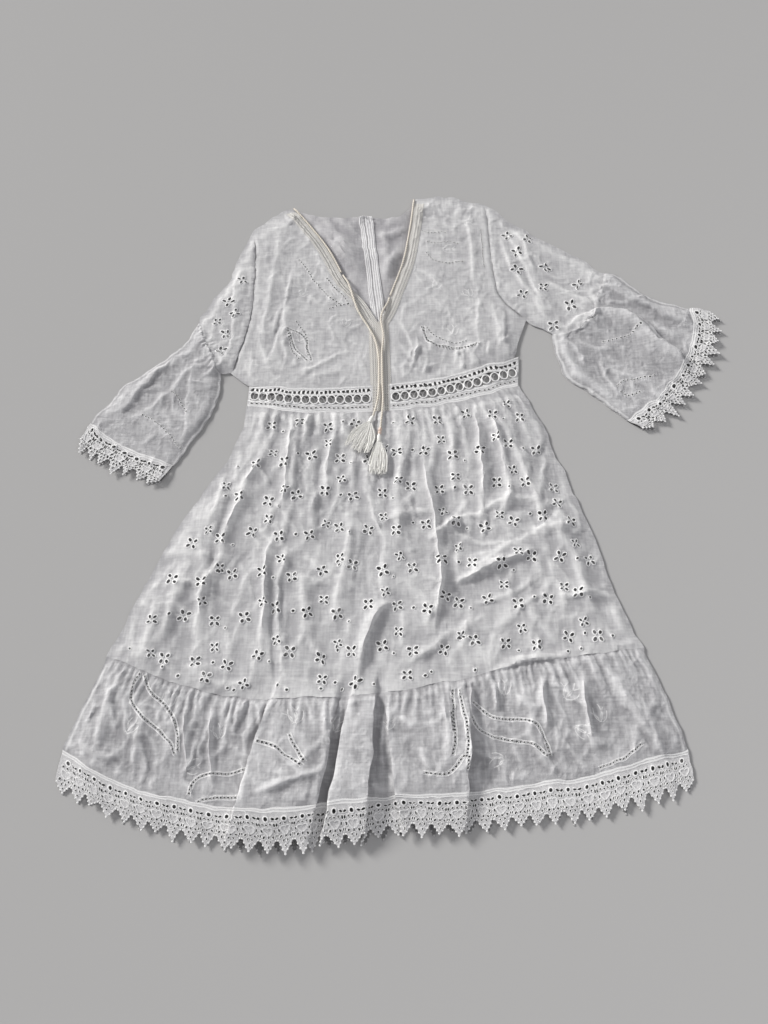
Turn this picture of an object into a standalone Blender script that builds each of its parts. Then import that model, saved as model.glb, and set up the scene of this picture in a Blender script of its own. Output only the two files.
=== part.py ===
"""Summer dress of white cotton cutwork, laid flat on its back.

Units are metres. The hem points to -Y, the shoulders to +Y, and the front is up.
The dress is cut in panels. Each panel is a flat outline that is netted with triangles,
lifted by a height worked out from the folds, and given its wall by Solidify.
"""

import math
import random

import bmesh
import bpy
from mathutils import Vector
from mathutils.geometry import delaunay_2d_cdt

# Cloth and seams
CLOTH = 0.0012
SEAM = 0.0003
FULL_SEAM = 0.0005
TRIM = 0.0010
REST = CLOTH + SEAM
PUFF = 0.0042
PUFF_REACH = 0.045
WAIST_FADE = 0.018
BODICE_PUFF = 0.0025
EDGE_REACH = 0.026
SIDE_FADE = 0.020

# Net: least distance between its points, and least face
CLEAR = 0.0034
LEAST_FACE = 2e-9

# Cutwork
PETAL_LONG = 0.0064
PETAL_WIDE = 0.0046
PETAL_OUT = 0.0052
REPEAT_WIDE = 0.078
REPEAT_TALL = 0.0545
REPEAT_START = (-0.0410, 0.2130)
REPEAT_SLOPE = 0.06
FLOWER_MARGIN = 0.0230
SLEEVE_MARGIN = 0.0130
FLOWER_TURN = 0.35
FLOWER_TURN_PACE = 2.3

# Waistband lace: a row of rings
RING_PITCH = 0.0127
RING_HOLE = 0.0074
RING_SIDES = 6
BACK_RINGS = 30
BACK_RING_SIDES = 5
CENTRE_STRIP = 0.0240
BAND_END = 0.0030
CENTRE_FRONT = -0.0045

# Hem and cuff lace: pointed scallops with one eyelet each
SCALLOP = 0.0220
SCALLOP_RISE = 0.0120
EYELET = 0.0050
EYELET_DOWN = 0.0095
EYELET_SIDES = 4
CUFF_STEPS = 12

# Gathers: how many waves each seam takes up
SKIRT_GATHERS = 36
RUFFLE_GATHERS = 48
FLARE_GATHERS = {"left": 11, "right": 13}
GATHER_HIGH = 0.0032
GATHER_FADE = 0.012
SKIRT_SPREAD = 0.8
GATHER_REACH = {"skirt": 0.090, "ruffle": 0.060, "flare": 0.050}

# Unevenness of the gathers: their shift, least height share and least reach share
UNEVEN = (0.22, 0.55, 0.35)

# Neck trim, edge cord and ties
NECK_TRIM = 0.0150
NECK_TRIM_SLOPE = 0.25
FRONT_LACE = 0.0300
TRIM_STEPS = (0.0, 0.14, 0.28, 0.42, 0.56, 0.7, 0.85, 1.0)
CENTRE_TOP = (-0.0085, 0.7110)
CENTRE_LOW = -0.0045
CORD = 0.0030
STRIP_WIDE = 0.0085

# Edge cord of the neck: how much of each neck edge it follows, and its height at both ends
NECK_CORD_START = 0.012
NECK_CORD_PART = {"left": 0.585, "right": 0.795}
NECK_CORD_OFF = 0.0021
NECK_CORD_STEPS = 12
NECK_CORD_HIGH = (0.0031, 0.0052)

# Free ties of the neck, from the edge cord to the tassel: their route (x, y, z)
TIES = {
    "left": (
        (-0.0632, 0.7975, 0.0052), (-0.0600, 0.7905, 0.0068), (-0.0563, 0.7835, 0.0084),
        (-0.0530, 0.7755, 0.0086), (-0.0492, 0.7630, 0.0084), (-0.0450, 0.7470, 0.0083),
        (-0.0400, 0.7310, 0.0082), (-0.0320, 0.7150, 0.0081), (-0.0225, 0.6980, 0.0082),
        (-0.0130, 0.6760, 0.0084), (-0.0082, 0.6500, 0.0084), (-0.0072, 0.6230, 0.0085),
        (-0.0072, 0.6020, 0.0088), (-0.0078, 0.5850, 0.0090), (-0.0102, 0.5680, 0.0095),
        (-0.0134, 0.5540, 0.0104), (-0.0160, 0.5450, 0.0112),
    ),
    "right": (
        (0.0083, 0.7552, 0.0052), (0.0065, 0.7470, 0.0064), (0.0030, 0.7385, 0.0077),
        (-0.0012, 0.7300, 0.0082), (-0.0040, 0.7200, 0.0083), (-0.0044, 0.7100, 0.0084),
        (-0.0026, 0.6980, 0.0084), (-0.0008, 0.6850, 0.0084), (-0.0018, 0.6700, 0.0084),
        (-0.0032, 0.6550, 0.0084), (-0.0028, 0.6400, 0.0084), (-0.0026, 0.6210, 0.0085),
        (-0.0022, 0.6000, 0.0088), (-0.0014, 0.5750, 0.0091), (-0.0030, 0.5500, 0.0104),
        (-0.0044, 0.5350, 0.0109), (-0.0048, 0.5280, 0.0110),
    ),
}
TIE_POINTS = 26

# Tassels: middle of the head's top, middle between the ends of the locks, spread of the ends
TASSELS = {
    "left": ((-0.0163, 0.5444, 0.0122), (-0.0375, 0.4930, 0.0144), 0.038),
    "right": ((-0.0068, 0.5158, 0.0120), (-0.0085, 0.4580, 0.0128), 0.025),
}
TASSEL_HEAD = (0.0080, 0.0100, 0.0050)
LOCKS = (9, 2)
LOCK_END = 0.0026
LOCK_GAP = 0.00012
LOCK_ROUND = 0.006
LOCK_WIDE = 0.86
LOCK_THICK = 0.5
BEAD_SIZE = 0.0052
BEADS = ((-0.0053, 0.5249, 0.0112), (-0.0061, 0.5193, 0.0114))

# Place of the dress: the middle of its footprint is the origin
MIDDLE = (0.0374, 0.4686)

# Body sides, from the hem up: height up the dress, left edge, right edge
SIDES = (
    # y, left, right
    (0.040, -0.391, 0.371),
    (0.094, -0.388, 0.366),
    (0.154, -0.368, 0.351),
    (0.226, -0.341, 0.322),
    (0.292, -0.316, 0.299),
    (0.350, -0.291, 0.286),
    (0.400, -0.266, 0.271),
    (0.446, -0.240, 0.256),
    (0.481, -0.219, 0.244),
    (0.527, -0.199, 0.229),
    (0.566, -0.196, 0.213),
    (0.601, -0.206, 0.197),
    (0.625, -0.226, 0.199),
    (0.664, -0.226, 0.201),
    (0.716, -0.226, 0.215),
)

# Seams that cross the body, each as points (x, y) from left to right
WAIST_TOP = (
    (-0.208, 0.602), (-0.121, 0.597), (-0.018, 0.600),
    (0.060, 0.610), (0.114, 0.624), (0.200, 0.651)
)
WAIST_LOW = (
    (-0.197, 0.569), (-0.119, 0.555), (-0.019, 0.556),
    (0.059, 0.563), (0.112, 0.573), (0.198, 0.602)
)
RUFFLE_SEAM = (
    (-0.350, 0.206), (-0.241, 0.167), (-0.170, 0.154), (-0.033, 0.157), (0.080, 0.174),
    (0.185, 0.198), (0.328, 0.217)
)
LACE_SEAM = (
    (-0.388, 0.092), (-0.321, 0.059), (-0.259, 0.041), (-0.164, 0.028), (-0.090, 0.032),
    (0.028, 0.043), (0.102, 0.045),
    (0.170, 0.054), (0.241, 0.064), (0.298, 0.078), (0.367, 0.094)
)
HEM = (
    (-0.390, 0.046), (-0.343, 0.026), (-0.256, -0.003), (-0.150, -0.021), (-0.051, -0.014), (0.007, -0.003),
    (0.084, -0.001), (0.150, 0.006), (0.231, 0.012), (0.289, 0.023), (0.371, 0.047)
)

# Bodice lines, from the shoulder down
ARMHOLE = {
    "left": (
        (-0.207, 0.887), (-0.203, 0.851), (-0.199, 0.800),
        (-0.201, 0.740), (-0.208, 0.680), (-0.225, 0.624)
    ),
    "right": ((0.164, 0.942), (0.167, 0.869), (0.169, 0.800), (0.181, 0.752), (0.215, 0.716)),
}
SHOULDER = {
    "left": ((-0.149, 0.933), (-0.166, 0.924), (-0.207, 0.887)),
    "right": ((0.051, 0.953), (0.090, 0.958), (0.164, 0.942)),
}
NECK = {
    "left": (
        (-0.149, 0.933), (-0.120, 0.894), (-0.088, 0.845),
        (-0.059, 0.784), (-0.030, 0.748), (-0.010, 0.711)
    ),
    "right": (
        (0.051, 0.953), (0.044, 0.894), (0.032, 0.824),
        (0.014, 0.766), (0.004, 0.735), (-0.007, 0.711)
    ),
}
BACK_NECK = ((-0.149, 0.933), (-0.100, 0.913), (-0.035, 0.915), (0.024, 0.915), (0.051, 0.953))
OPENING = ((-0.0330, 0.915), (-0.0250, 0.850), (-0.0170, 0.780), (-0.0080, 0.700), (-0.0050, 0.590))

# Sleeves: the outer and inner edges from the body to the cuff, the seam of the flare,
# the seam of the cuff lace and the line through its points
SLEEVE = {
    "left": {
        "outer": ((-0.207, 0.887), (-0.222, 0.850), (-0.236, 0.799), (-0.261, 0.752), (-0.281, 0.712)),
        "inner": ((-0.225, 0.624), (-0.238, 0.622)),
        "flare_seam": ((-0.281, 0.712), (-0.258, 0.664), (-0.238, 0.622)),
        "flare_outer": (
            (-0.281, 0.712), (-0.300, 0.668), (-0.326, 0.647), (-0.367, 0.610), (-0.398, 0.574),
            (-0.417, 0.540)
        ),
        "flare_inner": ((-0.238, 0.622), (-0.246, 0.562), (-0.271, 0.509), (-0.295, 0.472)),
        "lace_seam": ((-0.417, 0.540), (-0.384, 0.515), (-0.340, 0.493), (-0.295, 0.472)),
        "points": ((-0.434, 0.502), (-0.402, 0.473), (-0.359, 0.456), (-0.316, 0.438)),
    },
    "right": {
        "outer": (
            (0.164, 0.942), (0.189, 0.920), (0.207, 0.898),
            (0.247, 0.873), (0.294, 0.838), (0.340, 0.803)
        ),
        "inner": ((0.215, 0.716), (0.251, 0.692)),
        "flare_seam": ((0.340, 0.803), (0.318, 0.737), (0.286, 0.700), (0.251, 0.692)),
        "flare_outer": ((0.340, 0.803), (0.358, 0.798), (0.390, 0.772), (0.420, 0.751), (0.464, 0.739)),
        "flare_inner": ((0.251, 0.692), (0.262, 0.623), (0.285, 0.600), (0.315, 0.572), (0.346, 0.548)),
        "lace_seam": ((0.464, 0.739), (0.458, 0.682), (0.432, 0.630), (0.400, 0.587), (0.346, 0.548)),
        "points": ((0.505, 0.728), (0.497, 0.667), (0.466, 0.614), (0.432, 0.569), (0.376, 0.521)),
    },
}

# Soft folds of the front: how far they run past their ends and over what share they sink
RIDGE_RUN = 0.2
RIDGE_END = 0.45

# Soft folds of the front: a ridge from one point to another, its half width and height
BODY_RIDGES = (
    # x1, y1, x2, y2, half width, height
    (-0.153, 0.545, -0.172, 0.440, 0.010, 0.0050),
    (-0.130, 0.535, -0.138, 0.420, 0.009, 0.0060),
    (-0.110, 0.545, -0.140, 0.300, 0.012, 0.0050),
    (-0.060, 0.540, -0.064, 0.380, 0.011, 0.0050),
    (-0.030, 0.540, -0.028, 0.330, 0.012, 0.0045),
    (0.030, 0.545, 0.026, 0.400, 0.010, 0.0050),
    (0.062, 0.550, 0.070, 0.360, 0.011, 0.0050),
    (0.090, 0.555, 0.110, 0.380, 0.009, 0.0065),
    (0.118, 0.560, 0.140, 0.460, 0.008, 0.0070),
    (0.150, 0.580, 0.180, 0.430, 0.010, 0.0050),
    (0.067, 0.370, 0.062, 0.235, 0.007, 0.0085),
    (0.000, 0.290, -0.030, 0.190, 0.010, 0.0075),
    (-0.214, 0.340, -0.250, 0.170, 0.012, 0.0050),
    (-0.140, 0.300, -0.137, 0.160, 0.008, 0.0070),
    (-0.180, 0.420, -0.215, 0.260, 0.010, 0.0045),
    (0.070, 0.300, 0.160, 0.350, 0.009, 0.0040),
    (0.190, 0.350, 0.240, 0.180, 0.014, 0.0045),
    (0.210, 0.190, 0.230, 0.080, 0.009, 0.0045),
    (0.150, 0.180, 0.170, 0.060, 0.007, 0.0040),
    (-0.300, 0.190, -0.300, 0.080, 0.010, 0.0040),
    (-0.215, 0.150, -0.213, 0.050, 0.006, 0.0045),
    (-0.110, 0.700, -0.040, 0.640, 0.010, 0.0035),
    (-0.150, 0.760, -0.120, 0.640, 0.010, 0.0035),
    (-0.130, 0.840, -0.170, 0.720, 0.012, 0.0030),
    (0.060, 0.850, 0.120, 0.740, 0.012, 0.0035),
    (0.050, 0.740, 0.150, 0.720, 0.010, 0.0030),
    (0.040, 0.660, 0.100, 0.690, 0.009, 0.0030),
    (0.120, 0.880, 0.150, 0.800, 0.009, 0.0030),
)
SLEEVE_RIDGES = {
    "left": (
        (-0.262, 0.690, -0.330, 0.580, 0.010, 0.0050),
        (-0.250, 0.640, -0.300, 0.540, 0.009, 0.0055),
        (-0.300, 0.620, -0.370, 0.540, 0.010, 0.0045),
        (-0.225, 0.820, -0.235, 0.720, 0.010, 0.0035),
    ),
    "right": (
        (0.298, 0.744, 0.400, 0.698, 0.012, 0.0095),
        (0.310, 0.790, 0.380, 0.745, 0.010, 0.0055),
        (0.262, 0.680, 0.340, 0.590, 0.009, 0.0045),
        (0.285, 0.690, 0.380, 0.600, 0.009, 0.0045),
        (0.200, 0.880, 0.215, 0.760, 0.010, 0.0040),
        (0.235, 0.840, 0.270, 0.730, 0.010, 0.0040),
    ),
}

# Pressed-over folds that run out at the hem: both edges at the top and at the hem
FLAPS = (
    # y at top, left and right at top, left and right at hem, height, overhang
    (0.200, -0.128, -0.048, -0.176, -0.094, 0.0120, 0.0080),
    (0.215, -0.030, -0.006, -0.066, -0.030, 0.0130, 0.0080),
    (0.195, -0.004, 0.108, 0.028, 0.086, 0.0080, 0.0070),
)
HEM_LEVEL = -0.010
FLAP_FLANK = 0.0120


def smooth(points, count):
    """Points evenly spaced on a smooth curve through the given ones, both ends kept."""
    path = [Vector(point) for point in points]
    path = [path[0] * 2 - path[1]] + path + [path[-1] * 2 - path[-2]]
    fine = []
    for index in range(1, len(path) - 2):
        a, b, c, d = path[index - 1:index + 3]
        for step in range(16):
            t = step / 16
            fine.append(0.5 * (2 * b + (c - a) * t + (2 * a - 5 * b + 4 * c - d) * t * t
                               + (3 * b - a - 3 * c + d) * t ** 3))
    fine.append(path[-2])
    return spaced(fine, [number / count for number in range(count + 1)])


def spaced(line, shares):
    """Points on a polyline at the given shares of its length."""
    lengths = [0.0]
    for a, b in zip(line, line[1:]):
        lengths.append(lengths[-1] + (b - a).length)
    found = []
    spot = 0
    for share in shares:
        goal = share * lengths[-1]
        while spot < len(line) - 2 and lengths[spot + 1] < goal:
            spot += 1
        run = max(lengths[spot + 1] - lengths[spot], 1e-9)
        found.append(line[spot].lerp(line[spot + 1], min(max((goal - lengths[spot]) / run, 0.0), 1.0)))
    return found


def stretch(line, left, right):
    """The points of a crossing seam from one x to another, ends included."""
    middle = [point for point in line if left + 0.002 < point.x < right - 0.002]
    return [Vector((left, seam_y(line, left)))] + middle + [Vector((right, seam_y(line, right)))]


def ease(value):
    """Soft step from 0 to 1."""
    value = min(max(value, 0.0), 1.0)
    return value * value * (3 - 2 * value)


def side_x(y, column):
    """Left or right edge of the body at a height up the dress."""
    rows = SIDES
    if y <= rows[0][0]:
        return rows[0][column]
    for low, high in zip(rows, rows[1:]):
        if y <= high[0]:
            return low[column] + (high[column] - low[column]) * (y - low[0]) / (high[0] - low[0])
    return rows[-1][column]


def side_share(x, y):
    """Where x lies between the body's left edge, 0, and its right edge, 1."""
    left = side_x(y, 1)
    return (x - left) / (side_x(y, 2) - left)


def seam_y(line, x):
    """Height up the dress of a crossing seam at x."""
    for low, high in zip(line, line[1:]):
        if x <= high.x:
            return low.y + (high.y - low.y) * max(x - low.x, 0.0) / (high.x - low.x)
    return line[-1].y


def ridge_height(x, y, ridges):
    """Sum of the soft ridges at a point."""
    total = 0.0
    for x1, y1, x2, y2, wide, high in ridges:
        along = Vector((x2 - x1, y2 - y1))
        away = Vector((x - x1, y - y1))
        share = away.dot(along) / along.length_squared
        if -RIDGE_RUN < share < 1 + RIDGE_RUN:
            off = abs(along.x * away.y - along.y * away.x) / along.length
            end = ease((share + RIDGE_RUN) / RIDGE_END) * ease((1 + RIDGE_RUN - share) / RIDGE_END)
            total += high * end * math.exp(-(off / wide) ** 2)
    return total


def flap_lift(x, y):
    """Height and sideways push of the pressed-over folds near the hem."""
    lift = 0.0
    push = 0.0
    for top, left_top, right_top, left_hem, right_hem, high, over in FLAPS:
        down = (top - y) / (top - HEM_LEVEL)
        if down <= 0:
            continue
        left = left_top + (left_hem - left_top) * down
        right = right_top + (right_hem - right_top) * down
        rise = ease((x - left) / FLAP_FLANK + 0.5) * ease((right - x) / FLAP_FLANK + 0.5)
        grown = ease(down * 1.6)
        lift += high * grown * rise
        across = (x - (left + right) / 2) / max((right - left) / 2, FLAP_FLANK)
        push += over * grown * rise * min(max(across, -1.0), 1.0)
    return lift, push


def body_front(x, y):
    """Height and sideways push of the front of the body."""
    edge = min(x - side_x(y, 1), side_x(y, 2) - x)
    puff = PUFF * ease(edge / PUFF_REACH)
    waist = min(abs(seam_y(WAIST_TOP_LINE, x) - y), abs(seam_y(WAIST_LOW_LINE, x) - y))
    fade = ease(edge / SIDE_FADE) * ease(waist / WAIST_FADE)
    lift, push = flap_lift(x, y)
    return REST + puff + fade * (ridge_height(x, y, BODY_RIDGES) + lift), push * fade


def nearest(spot, points):
    """Distance from a point to the nearest of some points."""
    return min((spot - point).length for point in points)


def flap_edges(y):
    """The x places of both sides of each flank of the pressed-over folds, at a height up the dress."""
    found = []
    for top, left_top, right_top, left_hem, right_hem, lift, over in FLAPS:
        down = (top - y) / (top - HEM_LEVEL)
        left = left_top + (left_hem - left_top) * down
        right = right_top + (right_hem - right_top) * down
        half = FLAP_FLANK / 2
        found.extend((left - half, left + half, right - half, right + half))
    return found


def flap_points(levels):
    """Net points along the flanks of the pressed-over folds, so that they stay crisp."""
    return [Vector((x, y)) for y in levels for x in flap_edges(y)]


def with_flaps(line):
    """A crossing seam with points added on the flanks of the pressed-over folds."""
    marks = []
    for number in range(4 * len(FLAPS)):
        y = HEM_LEVEL
        for _ in range(3):
            x = flap_edges(y)[number]
            y = seam_y(line, x)
        marks.append(Vector((x, y)))
    kept = [point for point in line if nearest(point, marks) > CLEAR * 1.5]
    return sorted(kept + marks, key=lambda point: point.x)


def bodice_front(x, y):
    """Front of the bodice: it comes down to the back at the shoulders and side seams."""
    spot = Vector((x, y))
    low = ease(nearest(spot, SIDE_LINES) / EDGE_REACH)
    fade = low * ease(nearest(spot, ARM_LINES) / EDGE_REACH)
    return REST + low * BODICE_PUFF + fade * ridge_height(x, y, BODY_RIDGES), 0.0


def back_plain(x, y):
    """The back lies flat on what the dress rests on."""
    return 0.0, 0.0


def gathers(count, seed, reach):
    """Uneven gathers: a row (share along the seam, height, reach) for each ridge and valley."""
    chance = random.Random(seed)
    most_shift, least_high, least_reach = UNEVEN
    rows = []
    for number in range(2 * count + 1):
        shift = chance.uniform(-most_shift, most_shift) if 0 < number < 2 * count else 0.0
        high = chance.uniform(least_high, 1.0) if number % 2 else 0.0
        own_reach = reach * chance.uniform(least_reach, 1.0)
        rows.append(((number + shift) / (2 * count), high * GATHER_HIGH, own_reach))
    return rows


def gather_height(rows, share, down):
    """Height of the gathers at a share along their seam and a distance below it."""
    for low, high in zip(rows, rows[1:]):
        if share <= high[0]:
            part = min(max((share - low[0]) / (high[0] - low[0]), 0.0), 1.0)
            left = low[1] * max(1 - down / low[2], 0.0)
            right = high[1] * max(1 - down / high[2], 0.0)
            return left + (right - left) * part
    return 0.0


def inside(point, loop):
    """True where a point lies inside a closed outline."""
    x, y = point[0], point[1]
    hit = False
    for a, b in zip(loop, loop[1:] + loop[:1]):
        if (a[1] > y) != (b[1] > y) and x < (b[0] - a[0]) * (y - a[1]) / (b[1] - a[1]) + a[0]:
            hit = not hit
    return hit


def drawn_in(loop, by):
    """The outline moved in by a small distance, so that seams keep their gap."""
    area = sum(a[0] * b[1] - b[0] * a[1] for a, b in zip(loop, loop[1:] + loop[:1]))
    turn = 1 if area > 0 else -1
    moved = []
    for before, here, after in zip(loop[-1:] + loop[:-1], loop, loop[1:] + loop[:1]):
        first = (Vector(here) - Vector(before)).normalized()
        second = (Vector(after) - Vector(here)).normalized()
        way = Vector((-first.y - second.y, first.x + second.x)) * turn
        way.normalize()
        slant = max(way.dot(Vector((-first.y, first.x)) * turn), 0.5)
        moved.append(Vector(here) + way * (by / slant))
    return moved


def tidy_loop(points, near=0.0004):
    """The points in order without those that lie on their neighbour."""
    kept = []
    for point in points:
        point = Vector((point[0], point[1]))
        if not kept or (point - kept[-1]).length > near:
            kept.append(point)
    if (kept[0] - kept[-1]).length <= near:
        kept.pop()
    return kept


def lattice(loop, step):
    """Inner points of a panel, in staggered rows."""
    low_x = min(point.x for point in loop)
    high_x = max(point.x for point in loop)
    low_y = min(point.y for point in loop)
    high_y = max(point.y for point in loop)
    found = []
    row = 0
    y = low_y + step / 2
    while y < high_y:
        x = low_x + step * (0.25 if row % 2 else 0.75)
        while x < high_x:
            found.append(Vector((x, y)))
            x += step
        y += step * 0.87
        row += 1
    return found


def oval(middle, turn, long, wide, sides):
    """A small closed hole: an oval with its long side along turn."""
    along = Vector((math.cos(turn), math.sin(turn)))
    cross = Vector((-along.y, along.x))
    found = []
    for number in range(sides):
        angle = math.tau * number / sides
        spot = along * (long / 2 * math.cos(angle)) + cross * (wide / 2 * math.sin(angle))
        found.append(Vector(middle) + spot)
    return found


def flower(middle, turn):
    """Four petal holes round a point."""
    petals = []
    for number in range(4):
        angle = turn + math.pi / 4 + math.pi / 2 * number
        spot = Vector(middle) + Vector((math.cos(angle), math.sin(angle))) * PETAL_OUT
        petals.append(oval(spot, angle, PETAL_LONG, PETAL_WIDE, 4))
    return petals


def net(loop, inner, spread, holes, lines=()):
    """Flat triangles over an outline, along its lines, through its inner and spread points, round its holes."""
    points = []
    edges = []
    for ring in [loop] + holes:
        start = len(points)
        points.extend(ring)
        edges.extend((start + number, start + (number + 1) % len(ring)) for number in range(len(ring)))
    for line in lines:
        corners = [nearest_corner(line[0], loop)]
        for point in line[1:-1]:
            corners.append(len(points))
            points.append(point)
        corners.append(nearest_corner(line[-1], loop))
        edges.extend(zip(corners, corners[1:]))
    fixed = list(points)
    for point in inner:
        if inside(point, loop) and min((point - other).length for other in fixed) > CLEAR:
            if not any(inside(point, hole) for hole in holes):
                points.append(point)
    fixed = list(points)
    for point in spread:
        if inside(point, loop) and min((point - other).length for other in fixed) > CLEAR * 2:
            points.append(point)
    flat, _, faces, _, _, _ = delaunay_2d_cdt(points, edges, [], 0, 1e-6)
    kept = []
    for face in faces:
        middle = sum((flat[corner] for corner in face), Vector((0.0, 0.0))) / 3
        near = [hole for hole in holes if (hole[0] - middle).length < 0.02]
        first, second, third = (flat[corner] for corner in face)
        size = abs((second - first).cross(third - first)) / 2
        if size > LEAST_FACE and inside(middle, loop) and not any(inside(middle, hole) for hole in near):
            kept.append(tuple(face))
    return flat, kept


def nearest_corner(point, loop):
    """Number of the outline's corner that lies nearest to a point."""
    return min(range(len(loop)), key=lambda number: (loop[number] - point).length)


def finish(name, colour, roughness):
    """A plain cloth or thread material."""
    material = bpy.data.materials.new(name)
    material.use_nodes = True
    shader = material.node_tree.nodes["Principled BSDF"]
    shader.inputs["Base Color"].default_value = (*colour, 1.0)
    shader.inputs["Roughness"].default_value = roughness
    shader.inputs["Metallic"].default_value = 0.0
    return material


def sheet(name, flat, faces, shape, material, wall=CLOTH, lift=0.0):
    """A panel: its net raised to its shape, then given its wall."""
    raised = []
    for point in flat:
        high, push = shape(point.x, point.y)
        raised.append(Vector((point.x + push - MIDDLE[0], point.y - MIDDLE[1], high)))
    mesh = bpy.data.meshes.new(name)
    mesh.from_pydata(raised, [], faces)
    shell = bmesh.new()
    shell.from_mesh(mesh)
    bmesh.ops.delete(shell, geom=[corner for corner in shell.verts if not corner.link_faces], context="VERTS")
    bmesh.ops.recalc_face_normals(shell, faces=shell.faces)
    if sum(face.normal.z for face in shell.faces) < 0:
        bmesh.ops.reverse_faces(shell, faces=shell.faces)
    shell.normal_update()
    if lift:
        moved = [corner.co + corner.normal * lift for corner in shell.verts]
        for corner, place in zip(shell.verts, moved):
            corner.co = place
    shell.to_mesh(mesh)
    shell.free()
    mesh.materials.append(material)
    piece = bpy.data.objects.new(name, mesh)
    DRESS.objects.link(piece)
    solidify = piece.modifiers.new("wall", "SOLIDIFY")
    solidify.thickness = wall
    solidify.offset = 1.0
    solidify.use_even_offset = False
    return piece


def panel(name, outline, shape, material, step=None, inner=(), holes=(), draw=SEAM / 2, lines=()):
    """A cloth panel; returns its net so that trims can lie on it."""
    loop = drawn_in(tidy_loop(outline), draw)
    spread = lattice(loop, step) if step else []
    flat, faces = net(loop, list(inner), spread, list(holes), lines)
    sheet(name, flat, faces, shape, material)
    return flat, faces


def laid_on(name, base, loop, shape, material):
    """A trim on a panel: the panel's own faces inside a loop, moved out by its wall."""
    flat, faces = base
    chosen = []
    for face in faces:
        middle = sum((flat[corner] for corner in face), Vector((0.0, 0.0))) / 3
        if inside(middle, loop):
            chosen.append(face)
    sheet(name, flat, chosen, shape, material, TRIM, CLOTH + SEAM)


def sides_between(low, high, steps=6):
    """The right and left edges of the body between two seams, as lists going up."""
    right = []
    left = []
    for number in range(1, steps):
        share = number / steps
        y = low[-1].y + (high[-1].y - low[-1].y) * share
        right.append(Vector((side_x(y, 2), y)))
        y = low[0].y + (high[0].y - low[0].y) * share
        left.append(Vector((side_x(y, 1), y)))
    return right, left


def body_outline(low, high, shares=None):
    """Outline of a body piece between two seams; shares place points on the high seam."""
    top = spaced(high, shares) if shares else high
    right, left = sides_between(low, high)
    return low + right + list(reversed(top)) + list(reversed(left))


def rows_below(line, depths, shares):
    """Inner points on the ridges and valleys of the gathers, at depths below a seam."""
    found = []
    for depth in depths:
        for spot in spaced(line, shares):
            y = spot.y - depth
            left = side_x(y, 1)
            here = side_share(spot.x, spot.y)
            found.append(Vector((left + (side_x(y, 2) - left) * here, y)))
    return found


def repeat_flowers(area, margin=FLOWER_MARGIN):
    """Middles of the largest flower of each repeat that fits inside an outline."""
    found = []
    for row in range(-8, 16):
        for column in range(-8, 9):
            x = REPEAT_START[0] + (column + 0.5 * (row % 2)) * REPEAT_WIDE
            y = REPEAT_START[1] + row * REPEAT_TALL
            spot = Vector((x, y + REPEAT_SLOPE * x))
            clear = min((spot - point).length for point in area)
            if inside(spot, area) and clear > margin:
                found.append(spot)
    return found


def petals_in(outline, margin=FLOWER_MARGIN):
    """All petal holes of a panel."""
    area = tidy_loop(outline)
    holes = []
    for number, spot in enumerate(repeat_flowers(area, margin)):
        holes.extend(flower(spot, FLOWER_TURN * math.sin(FLOWER_TURN_PACE * number)))
    return holes


def points_line(line, tips, rise, depth_line, full):
    """Pointed lace edge: valley and point of each scallop, with its shoulders where it is full."""
    parts = ((0.0, 0.0), (0.26, 0.62), (0.5, 1.0), (0.74, 0.62)) if full else ((0.0, 0.0), (0.5, 1.0))
    found = []
    for number in range(tips):
        for part, fall in parts:
            share = (number + part) / tips
            low = spaced(line, [share])[0]
            high = spaced(depth_line, [share])[0]
            way = (high - low).normalized()
            found.append(low + way * (rise * (1 - fall)))
    last = spaced(line, [1.0])[0]
    found.append(last + (spaced(depth_line, [1.0])[0] - last).normalized() * rise)
    return found


def lace(name, top, tips_line, shape, eyelets, inner=()):
    """A lace edging: straight at its seam, pointed at its edge."""
    edge = smooth(tips_line, 48)
    length = sum((b - a).length for a, b in zip(edge, edge[1:]))
    tips = round(length / SCALLOP)
    outline = points_line(edge, tips, SCALLOP_RISE, top, eyelets) + list(reversed(top))
    holes = []
    if eyelets:
        for number in range(tips):
            share = (number + 0.5) / tips
            high = spaced(top, [share])[0]
            low = spaced(edge, [share])[0]
            spot = high + (low - high).normalized() * EYELET_DOWN
            holes.append(oval(spot, 0.0, EYELET, EYELET, EYELET_SIDES))
    draw = FULL_SEAM if inner else SEAM / 2
    return panel(name, outline, shape, LACE, 0.035, inner=inner, holes=holes, draw=draw)


def ring_row(left, right, count, sides):
    """Ring holes of a waistband between two x places, midway up the band."""
    holes = []
    for number in range(count):
        x = left + (right - left) * (number + 0.5) / count
        y = (seam_y(WAIST_TOP_LINE, x) + seam_y(WAIST_LOW_LINE, x)) / 2
        slant = math.atan2(seam_y(WAIST_LOW_LINE, x + 0.01) - seam_y(WAIST_LOW_LINE, x - 0.01), 0.02)
        holes.append(oval((x, y), slant, RING_HOLE, RING_HOLE, sides))
    return holes


def band(name, left, right, rings):
    """One piece of the front waistband between two x places; None is the side of the dress."""
    low = stretch(WAIST_LOW_LINE, left or WAIST_LOW[0][0], right or WAIST_LOW[-1][0])
    high = stretch(WAIST_TOP_LINE, left or WAIST_TOP[0][0], right or WAIST_TOP[-1][0])
    start = low[0].x + BAND_END
    stop = low[-1].x - BAND_END
    holes = ring_row(start, stop, round((stop - start) / RING_PITCH), RING_SIDES) if rings else []
    return panel(name, low + list(reversed(high)), body_front, LACE, holes=holes)


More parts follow.
